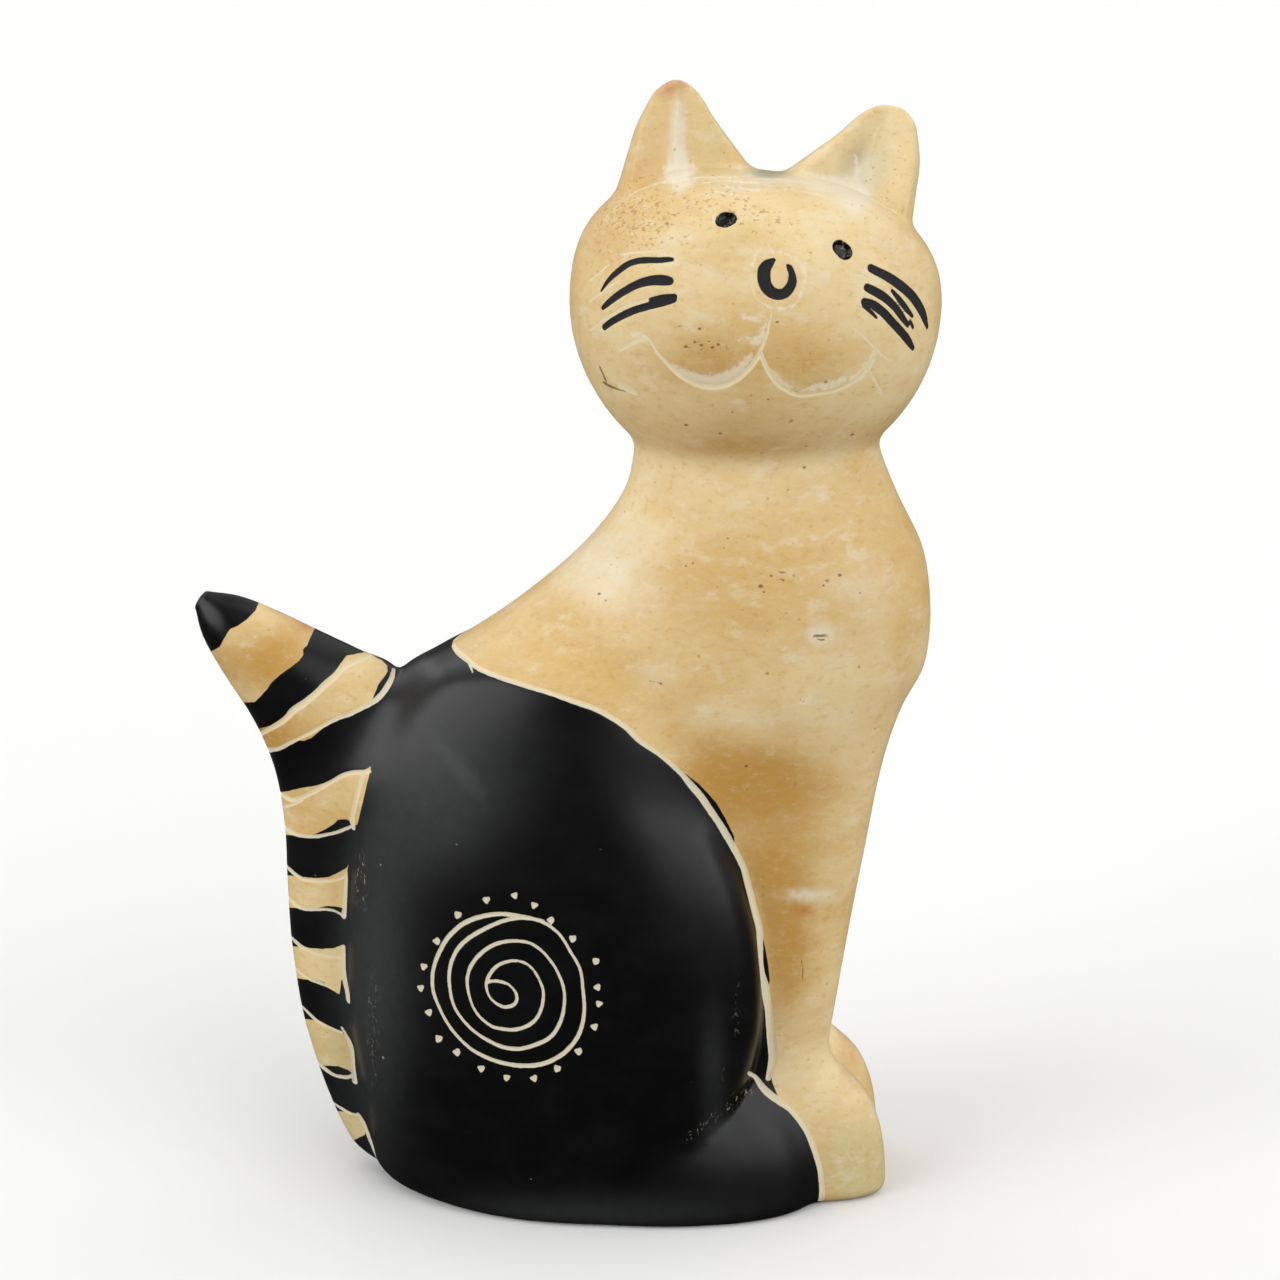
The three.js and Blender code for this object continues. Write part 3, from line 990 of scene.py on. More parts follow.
@dataclass(frozen=True)
class FaceDrawing:
    """Eyes, nose, mouth and whiskers, with the wear, the pits and the slips round them. The pale
    rims on the eyes' upper left are a painted highlight, and the slips beside the whiskers are
    partly one.
    """

    eyes: tuple = (
        ((10.9, 56.1, 1.46), (11.5, 56.4, 2.2), (12, 56.5, 1.74)),
        ((26.9, 52.6, 2.0), (27.1, 52.3, 2.45), (27.4, 52.1, 2.1)),
    )
    # Pale rims on the upper left of each eye: a painted highlight, drawn as a pale scratch.
    eye_rim_highlights: tuple = (
        ((10.3, 55.7, 0.2), (9.9, 56.1, 0.37), (9.9, 56.7, 0.37), (10.2, 57.1, 0.17)),
        ((25.8, 52.1, 0.25), (25.7, 52.8, 0.48), (26, 53.3, 0.42), (26.5, 53.5, 0.23)),
    )
    nose: tuple = (
        (17.9, 50.9, 0.56), (17.2, 50.4, 1.24), (16.7, 49.7, 1.58), (16.6, 48.8, 1.63),
        (16.7, 47.9, 1.58), (17.1, 47.1, 1.52), (17.8, 46.5, 1.41), (18.6, 46.3, 1.35),
        (19.4, 46.5, 1.29), (20, 47.1, 1.24), (20.4, 47.9, 1.13), (20.4, 48.7, 0.96),
        (20.3, 49.3, 0.79), (20, 50, 0.73), (19.8, 50.2, 0.39),
    )
    nose_ring: tuple = (
        (16, 52, 0.3), (15.5, 51.3, 0.41), (15.1, 50.2, 0.3), (14.9, 48.8, 0.3), (15, 47.6, 0.35),
        (15.4, 46.5, 0.35), (16, 45.6, 0.41), (17, 44.9, 0.41), (18.2, 44.5, 0.41),
        (19.4, 44.5, 0.46), (20.5, 44.9, 0.51), (21.3, 45.7, 0.46), (21.7, 46.8, 0.51),
        (22.1, 48.2, 0.55), (22.1, 49.6, 0.66), (21.3, 50.5, 0.66), (20.4, 51.4, 0.55),
        (19.4, 51.9, 0.46), (18, 52.1, 0.35), (16.6, 52.1, 0.3),
    )
    mouth: tuple = (
        ((17.6, 44, 0.23), (17.5, 43, 0.3), (17.2, 41.8, 0.3), (17, 40.7, 0.34), (16.6, 39.8, 0.45),
         (16.2, 38.9, 0.6)),
        ((1.2, 40.3, 0.3), (1.7, 39.5, 0.38), (2.3, 38.5, 0.45), (3.1, 37.6, 0.6),
         (3.9, 36.8, 0.75), (5, 35.8, 0.9), (6.2, 35, 1.05), (7.7, 34.3, 1.2), (9.3, 34, 1.28),
         (10.9, 34.1, 1.28), (12.5, 34.7, 1.13), (13.8, 35.6, 1.05), (15, 36.8, 0.9),
         (15.8, 38, 0.83), (16.1, 38.6, 0.75)),
        ((16.1, 38.6, 0.75), (16.5, 37.5, 0.75), (17.1, 36.2, 0.83), (17.9, 35, 0.9),
         (18.9, 34, 0.9), (20.1, 33.2, 0.83), (21.2, 32.8, 0.68), (22.1, 32.8, 0.68),
         (23.6, 33, 0.68), (25.1, 33.2, 0.68), (26.6, 33.6, 0.68), (28.1, 34.3, 0.68),
         (29.4, 35.3, 0.68), (30.5, 36.5, 0.6), (31.2, 37.7, 0.45), (31.6, 38.6, 0.23)),
    )
    powder: tuple = (
        ((4.3, 36.8, 0.6), (5.6, 35.9, 1.13), (7.2, 35.3, 1.5), (9, 34.8, 1.73), (10.8, 35, 1.73),
         (12.5, 35.7, 1.58), (13.8, 36.8, 1.28), (14.8, 38, 0.98)),
        ((15.3, 40.1, 1.13), (15.9, 40.4, 1.43), (16.5, 41.3, 0.98), (16.9, 42.3, 0.53)),
        ((17.6, 36.2, 0.53), (18.8, 34.7, 0.68), (20.1, 33.8, 0.6)),
        ((21.7, 33.4, 0.53), (23.6, 33.9, 0.98), (25.5, 34.3, 1.13), (27.3, 34.9, 0.98)),
        ((28.5, 35.2, 0.9), (29.4, 35.4, 1.28), (30.2, 36.3, 1.05), (31.1, 37.7, 0.98),
         (31.5, 38.6, 0.83)),
        ((13.7, 43.4, 0.75), (15, 43.1, 0.83), (16.3, 42.7, 0.53)),
        ((16.3, 43.6, 0.53), (16.8, 43.3, 0.53), (17.1, 42.9, 0.38)),
        ((13.2, 40.1, 0.38), (14.1, 40.4, 0.45), (14.9, 40.5, 0.45)),
        ((-0.8, 40.9, 0.9), (0.2, 40.9, 0.83), (1.1, 40.3, 0.53)),
    )
    eye_depth: float = 0.7
    mouth_depth: float = 0.12
    line_depth: float = 0.1
    slip_depth: float = 0.06
    wear_depth: float = 0.03
    mouth_swell: float = 0.72
    whisker_swell: float = 1.08
    whiskers: tuple = (
        ((-5.2, 46.8, 0.2), (-4.4, 48, 0.47), (-3.2, 49.2, 0.67), (-1.7, 50.3, 0.74),
         (-0.3, 50.8, 0.74), (1, 50.9, 0.74), (2.7, 50.9, 0.67), (3.9, 51, 0.6), (4.3, 51, 0.47)),
        ((-5, 44.5, 0.47), (-4, 45.4, 0.74), (-2.8, 46.3, 0.87), (-1.3, 47.2, 0.94),
         (0, 47.8, 1.01), (1.7, 48.2, 1.14), (3.2, 48.2, 1.21), (4, 48.1, 0.94)),
        ((-4.8, 41.9, 0.67), (-3.9, 42.6, 0.8), (-2.3, 43.5, 0.87), (-0.7, 44.2, 0.87),
         (1.3, 44.8, 0.87), (3, 45.2, 0.87), (4.5, 45.6, 0.74)),
        ((1.4, 45.6, 0.47), (3, 45.9, 0.67), (4.6, 46, 0.67)),
        ((31, 49.8, 1), (32.2, 49.2, 1.05), (33.5, 48.5, 1.12), (34.8, 47.6, 1.12),
         (36.2, 46.4, 1.05), (37.2, 45.1, 0.95), (38, 43.6, 0.75), (38.5, 42, 0.35)),
        ((30.5, 47.2, 1), (31.5, 46.7, 1.1), (32.8, 45.9, 1.05), (34.1, 44.7, 0.9), (35, 43.5, 0.8),
         (35.9, 42.2, 0.5)),
        ((33.8, 46.8, 0.4), (34.8, 45.6, 0.62), (35.7, 44.4, 0.62), (36.5, 43.4, 0.35)),
        ((36.2, 42.7, 0.34), (36.6, 41.9, 0.34)),
        ((30.1, 45.3, 0.95), (31.3, 44.9, 1.05), (32.6, 43.9, 1.05), (33.9, 42.5, 0.98),
         (35, 41.3, 0.95), (35.9, 40.2, 0.85), (36.6, 39.1, 0.45)),
        ((30, 44.8, 0.5), (30.9, 44, 0.5), (31.7, 43.2, 0.3)),
    )
    # Pale scratched lines beside the whiskers and the mouth, partly a painted highlight beside the
    # whisker grooves.
    slips_and_highlights: tuple = (
        ((-4.7, 42.8, 0.27), (-3.4, 43.7, 0.4), (-1.7, 44.7, 0.47), (0, 45.2, 0.4),
         (1.3, 45.6, 0.34)),
        ((-2.7, 51.6, 0.17), (-0.7, 51.9, 0.27), (3, 52.1, 0.17)),
        ((-6.7, 48.2, 0.17), (-5.4, 49.2, 0.2), (-4.2, 50.3, 0.17)),
        ((-6.7, 45.4, 0.17), (-4.7, 46.9, 0.2), (-2.7, 48.2, 0.17)),
        ((-6.7, 41.5, 0.2), (-5.7, 42.2, 0.27), (-4.7, 43, 0.2)),
        ((28.8, 49, 0.13), (30.8, 48.4, 0.2), (32.8, 47.6, 0.17)),
        ((28.8, 46.4, 0.13), (30.5, 45.6, 0.2)),
        ((33.2, 46.9, 0.34), (34.5, 45.2, 0.47), (35.8, 43.4, 0.34)),
        ((31.8, 44.1, 0.47), (32.2, 42.9, 0.27)),
        ((-2.7, 38.9, 0.45), (-1.6, 39.5, 0.53), (-0.5, 40.1, 0.49), (0.5, 40.3, 0.45),
         (1.2, 40.3, 0.34)),
        ((28.6, 41.7, 0.19), (29.9, 40.7, 0.23), (31.1, 39.5, 0.26), (32.2, 38.4, 0.26),
         (33.4, 37.4, 0.19)),
        ((30.3, 37.1, 0.26), (30.9, 35.8, 0.3), (31.6, 34.5, 0.3), (32.4, 32.9, 0.19)),
        ((-2.7, 34.2, 0.75), (-1.6, 33.7, 0.83), (-0.6, 33.1, 0.53)),
    )
    ear_wear: tuple = (
        ((-0.6, 60.1, 0.34), (0.9, 60.7, 0.43), (2.8, 61.3, 0.51), (4.9, 61.5, 0.6),
         (7.5, 61.9, 0.43), (10.1, 62, 0.34), (13.1, 62.1, 0.26), (15.1, 62.2, 0.21)),
        ((5.1, 72, 0.6), (4.9, 70, 0.6), (4.8, 67.9, 0.6), (4.7, 65.3, 0.69)),
        ((6, 71.7, 0.34), (6, 69.6, 0.34), (5.8, 67.4, 0.34), (5.7, 64.9, 0.43)),
        ((5.4, 65.3, 1.5), (5.5, 64.2, 2.3), (5.5, 63.2, 2.7), (5.3, 62.4, 2.2)),
        ((32.5, 69.6, 0.21), (32, 68.6, 0.26), (31.4, 67.3, 0.3), (30.9, 65.9, 0.3)),
        ((28.9, 64.9, 0.6), (29.2, 63.4, 0.77), (28.9, 61.9, 1.11), (29.5, 60.7, 1.29)),
        ((25.7, 61.7, 0.34), (27.4, 61.3, 0.51), (28.9, 60.6, 0.86), (30.5, 59.5, 0.94),
         (31.8, 58.7, 0.86), (33.1, 57.9, 0.6), (34.5, 57.1, 0.34)),
        ((22.1, 62.8, 0.26), (23.8, 62.4, 0.34), (25.9, 62, 0.43), (28.1, 61.8, 0.51)),
        ((19.1, 62.2, 0.21), (22.1, 61.8, 0.26), (25.5, 61, 0.3)),
    )
    crown_wear: tuple = (
        ((8.8, 61.3, 0.21), (11.8, 61.5, 0.34), (14.8, 61.3, 0.34), (17.8, 60.9, 0.26)),
        ((11.8, 60.7, 0.3), (14.4, 60.4, 0.39), (16.9, 60.3, 0.26)),
        ((15.2, 61.8, 0.34), (17.8, 61.8, 0.43), (20.4, 61.6, 0.26)),
        ((19.5, 60.4, 0.21), (22.1, 60.1, 0.26), (24.7, 59.5, 0.21)),
        ((10.1, 60.1, 0.21), (12.7, 59.7, 0.26), (14.8, 59.5, 0.17)),
    )
    pits: tuple = (
        (6.1, 39.3, 0.36), (7.3, 39.9, 0.22), (8.2, 39.5, 0.3), (9.3, 40, 0.18), (9.7, 39.2, 0.3),
        (10.5, 39.6, 0.24), (11.6, 39.3, 0.14), (8, 41.7, 0.24), (18.4, 42.6, 0.24),
        (6.2, 28.8, 0.26), (10.7, 27.7, 0.2), (28.4, 27.5, 0.24), (24.9, 34.6, 0.2),
        (5.3, 42, 0.18), (22.8, 38.4, 0.16), (17.2, 32.2, 0.2), (31.2, 33.9, 0.2),
    )
    cheek_cracks: tuple = (
        ((-5.4, 36.6, 0.15), (-5, 35.7, 0.28), (-4.6, 34.8, 0.2)),
        ((-4.9, 34.5, 0.2), (-4, 34, 0.26), (-3, 33.6, 0.18), (-1.9, 33.3, 0.1)),
    )

    def strokes(self) -> list[Stroke]:
        """Lists the face's lines, which are only on the side that the face looks to.

        Returns:
            The strokes.
        """
        worn = (self.nose_ring,) + self.powder + self.ear_wear + self.crown_wear
        return [
            *strokes_of(self.eyes, Mark.PIT, self.eye_depth),
            # the eyes' pale upper-left rims are a painted highlight
            *strokes_of(self.eye_rim_highlights, Mark.SCRATCH, self.line_depth),
            *strokes_of((self.nose,), Mark.INK, self.line_depth),
            *strokes_of(self.whiskers, Mark.INK, self.line_depth, self.whisker_swell),
            *strokes_of(self.mouth, Mark.SCRATCH, self.mouth_depth, self.mouth_swell),
            # pale slips, partly a painted highlight beside the whiskers
            *strokes_of(self.slips_and_highlights, Mark.SCRATCH, self.slip_depth),
            *strokes_of(self.cheek_cracks, Mark.CRACK, self.slip_depth),
            *pits_of(self.pits, self.slip_depth),
            *strokes_of(worn, Mark.WORN, self.wear_depth),
        ]


@dataclass(frozen=True)
class ChestFlaws:
    """Natural pits and cracks of the stone on the chest and the foreleg."""

    depth: float = 0.08
    cracks: tuple = (
        ((23, 0.35, 0.1), (23.6, 0.6, 0.22), (24.2, 0.5, 0.34), (24.8, 0.7, 0.2),
         (25.3, 0.35, 0.1)),
        ((23.7, 0.1, 0.12), (24.3, 0, 0.24), (24.9, 0.1, 0.1)),
        ((1.2, -5.5, 0.08), (1.8, -5.6, 0.14), (2.3, -5.6, 0.1), (2.9, -5.9, 0.22)),
        ((18.5, 9.2, 0.1), (19.1, 9, 0.2), (19.6, 9.1, 0.1)),
        ((18.7, 8.2, 0.16), (19.3, 8, 0.22)),
        ((11.3, -57.3, 0.08), (10.9, -58.4, 0.1), (11.2, -59.2, 0.06)),
        ((21.6, -42.5, 0.08), (21.8, -44.4, 0.1), (21.7, -45.6, 0.06)),
    )
    pits: tuple = (
        (16.2, 7.2, 0.42), (26.8, 8.7, 0.36), (25.1, 7.9, 0.36), (16.6, 6.4, 0.2),
        (14.2, -16.9, 0.22), (22, 23.1, 0.28), (19.8, 20.1, 0.18), (17.6, 8.6, 0.2),
        (20.6, 8.6, 0.18), (24.6, 7.3, 0.2), (-5.5, 6.2, 0.28), (-4.6, 5.3, 0.18), (6.2, 9.9, 0.2),
        (29.5, 6.3, 0.16), (11.8, 13.6, 0.16),
    )

    def strokes(self) -> list[Stroke]:
        """Lists the cracks and the pits."""
        return strokes_of(self.cracks, Mark.CRACK, self.depth) + pits_of(self.pits, self.depth)


@dataclass(frozen=True)
class HaunchDrawing:
    """The black of the haunches, the pale lines at its edge, and a spiral in a ring of dots."""

    edge: tuple = (
        (-25, -0.7, 0.5), (-24.6, -1.4, 0.6), (-23.3, -2.5, 0.6), (-21.4, -3.9, 0.6),
        (-18.2, -5.2, 0.6), (-15, -6.2, 0.6), (-11.8, -7.2, 0.54), (-8.6, -8.3, 0.67),
        (-5.4, -9.5, 0.67), (-2.1, -11.5, 0.67), (0, -13.5, 0.67), (2.7, -15.4, 0.54),
        (5.4, -17.8, 0.54), (6.8, -19.4, 0.8), (8.1, -20.9, 0.87), (9.2, -22.5, 0.87),
        (10.3, -24.1, 0.8), (11.3, -25.7, 0.87), (12.2, -27.3, 0.8), (13.1, -28.9, 0.8),
        (13.9, -30.6, 0.8), (14.3, -32.2, 0.8), (14.7, -33.8, 0.8), (15.1, -35.4, 0.8),
        (15.5, -37, 0.8), (15.9, -38.6, 0.8), (16, -40.2, 0.8), (16.1, -42.1, 0.8),
        (16.3, -44.5, 0.8), (16.6, -46.4, 0.94), (16.9, -48, 0.94), (17.2, -49.6, 0.94),
        (17.4, -51.6, 1.01), (17.6, -53.6, 1.07), (17.8, -55.7, 1.07), (17.6, -57.1, 0.94),
        (17.2, -58.7, 0.67),
    )
    spur: tuple = ((-23.4, -2.0, 0.15), (-22.9, -3.1, 0.3), (-22.4, -4.4, 0.12))
    foot_edge: tuple = (
        (14.5, -58, 0.4), (15.5, -58.6, 0.54), (16.3, -59.8, 0.8), (17.3, -60.8, 0.94),
        (18.8, -61.9, 0.87), (20, -62.7, 0.8), (21, -63.8, 0.8), (21.8, -64.9, 0.8),
        (22.5, -66.1, 0.74), (23.2, -67.8, 0.74), (23.7, -69.4, 0.67), (24.1, -70.8, 0.67),
        (24.3, -72.4, 0.67), (24.4, -73.7, 0.67), (24.3, -75, 0.67),
    )
    black: tuple = (
        (-25.0, 4), (-25.3, 0), (-25.0, -1.3), (-23, -2.8), (-21.4, -4), (-18.2, -5.2), (-15, -6.3),
        (-11.8, -7.4), (-8.6, -8.4), (-5.4, -9.6), (-2.1, -11.7), (0, -13.5), (2.7, -15.5),
        (5.1, -17.4), (6.2, -18), (7.8, -19.2), (9, -20.4), (10.2, -21.8), (11.1, -23.3),
        (11.9, -24.8), (12.6, -26.3), (12.7, -27.9), (13.5, -29.7), (14.3, -32.2), (15.1, -35.4),
        (15.8, -38.3), (16.4, -39.5), (16.8, -41.3), (17.2, -43.7), (17.4, -45.6), (17, -47.2),
        (17.2, -49.6), (17.6, -53.6), (17.7, -55.7), (17.4, -57.4), (17.7, -59.2), (18.8, -61.9),
        (21, -63.8), (22.5, -66.1), (23.7, -69.4), (24.3, -72.4), (24.4, -79.1), (24.4, -95),
        (-75, -95), (-75, 25), (-25.0, 25),
    )
    spiral_middle: Pair = (-18.36, -46.9)
    spiral_start: float = 150.0  # degrees round from pointing right, falling by spiral_step
    spiral_step: float = 15.0
    spiral_radii: tuple = (
        2.14, 1.72, 1.37, 1.1, 1.07, 0.96, 1.05, 1.07, 1.1, 1.27, 1.47, 1.81, 2.17, 2.41, 2.44,
        2.35, 2.28, 2.08, 2.01, 1.98, 2.01, 2.08, 2.14, 2.35, 2.48, 2.68, 2.95, 3.28, 3.62, 4.02,
        4.45, 4.76, 4.89, 5.07, 5.36, 5.56, 5.76, 5.9, 5.76, 5.52, 5.23, 5.12, 4.89, 4.72, 4.62,
        4.58, 4.69, 4.99, 5.25, 5.49, 5.74, 6.1, 6.43, 6.81, 7.24, 7.37, 7.5, 7.77, 8.17, 8.47,
        8.82, 8.95, 8.51, 8.17, 7.64, 7.1, 6.81, 6.7, 6.77, 6.94, 7.1, 7.48, 7.91, 8.24, 8.34, 8.6,
        9.25, 9.98, 10.52, 10.61, 10.39, 10.69, 10.72, 11.26, 11.77, 11.77, 11.32, 10.52, 9.78,
        9.27, 8.95, 8.71, 8.68, 8.87, 9.38, 9.72, 9.92, 10.21, 10.35, 10.25, 10.18, 10.18, 10.65,
    )
    spiral_width: Pair = (0.27, 0.2)  # everywhere, and more where the tool turned
    spiral_widest: float = 120.0  # degrees, where it turned
    spiral_growth: Pair = (0.8, 0.4)  # at the start, and more towards the end
    fine_depth: float = 0.12
    dots: tuple = (
        (-20.6, -34.9), (-16.8, -34.3), (-14.2, -35.6), (-11.9, -37.6), (-9, -40.1), (-5.9, -43.1),
        (-5.7, -46.6), (-5.5, -48.8), (-6.1, -51.9), (-8.2, -55.2), (-11.1, -57.5), (-14.2, -58.8),
        (-17.9, -58.7), (-21.3, -57.5), (-24.5, -55.3), (-27, -53.5), (-28.3, -50), (-29.4, -46.7),
        (-29, -43.8), (-27.2, -40.4), (-24.4, -36.9),
    )
    dot_corners: tuple = ((-0.3, 0.2), (0.3, 0.25), (0.0, -0.28), (-0.3, 0.2))  # from its middle
    dot_width: float = 0.36

    def spiral(self) -> tuple:
        """Works out the spiral: it turns clockwise by one step for each radius in the list, and it
        is widest where the line runs across the tool, by the square of a cosine.

        Returns:
            Across, up and width, one row each.
        """
        steps = np.arange(len(self.spiral_radii))
        turn = np.radians(self.spiral_start - self.spiral_step * steps)
        radius = np.array(self.spiral_radii)
        across = self.spiral_middle[0] + radius * np.cos(turn)
        up = self.spiral_middle[1] + radius * np.sin(turn)
        plain, more = self.spiral_width
        width = plain + more * np.cos(turn - math.radians(self.spiral_widest)) ** 2
        start, growth = self.spiral_growth
        return tuple(zip(across, up, width * (start + growth * steps / len(steps))))

    def dot(self, across: float, up: float, number: int) -> tuple:
        """Gives one dot's places: round a small triangle, each leaning its own way and of its own
        size, by sines of its number.

        Args:
            across: where the dot's middle is.
            up: how high that is.
            number: the dot's number.

        Returns:
            Across, up and width, one row each.
        """
        lean, size = -25 * math.sin(2.4 * number), 1 + 0.15 * math.sin(5.1 * number)
        corners = [turned_flat(x, y, lean) for x, y in self.dot_corners]
        return tuple((across + size * x, up + size * y, self.dot_width) for x, y in corners)

    def strokes(self) -> list[Stroke]:
        """Lists the haunch's lines. The spiral is only on the cat's right.

        Returns:
            The strokes.
        """
        edges = (self.edge, self.foot_edge, self.spur)
        made = [Stroke(places, both_sides=True) for places in edges]
        dots = [self.dot(*middle, number) for number, middle in enumerate(self.dots)]
        return made + strokes_of((self.spiral(), *dots), Mark.SCRATCH, self.fine_depth)


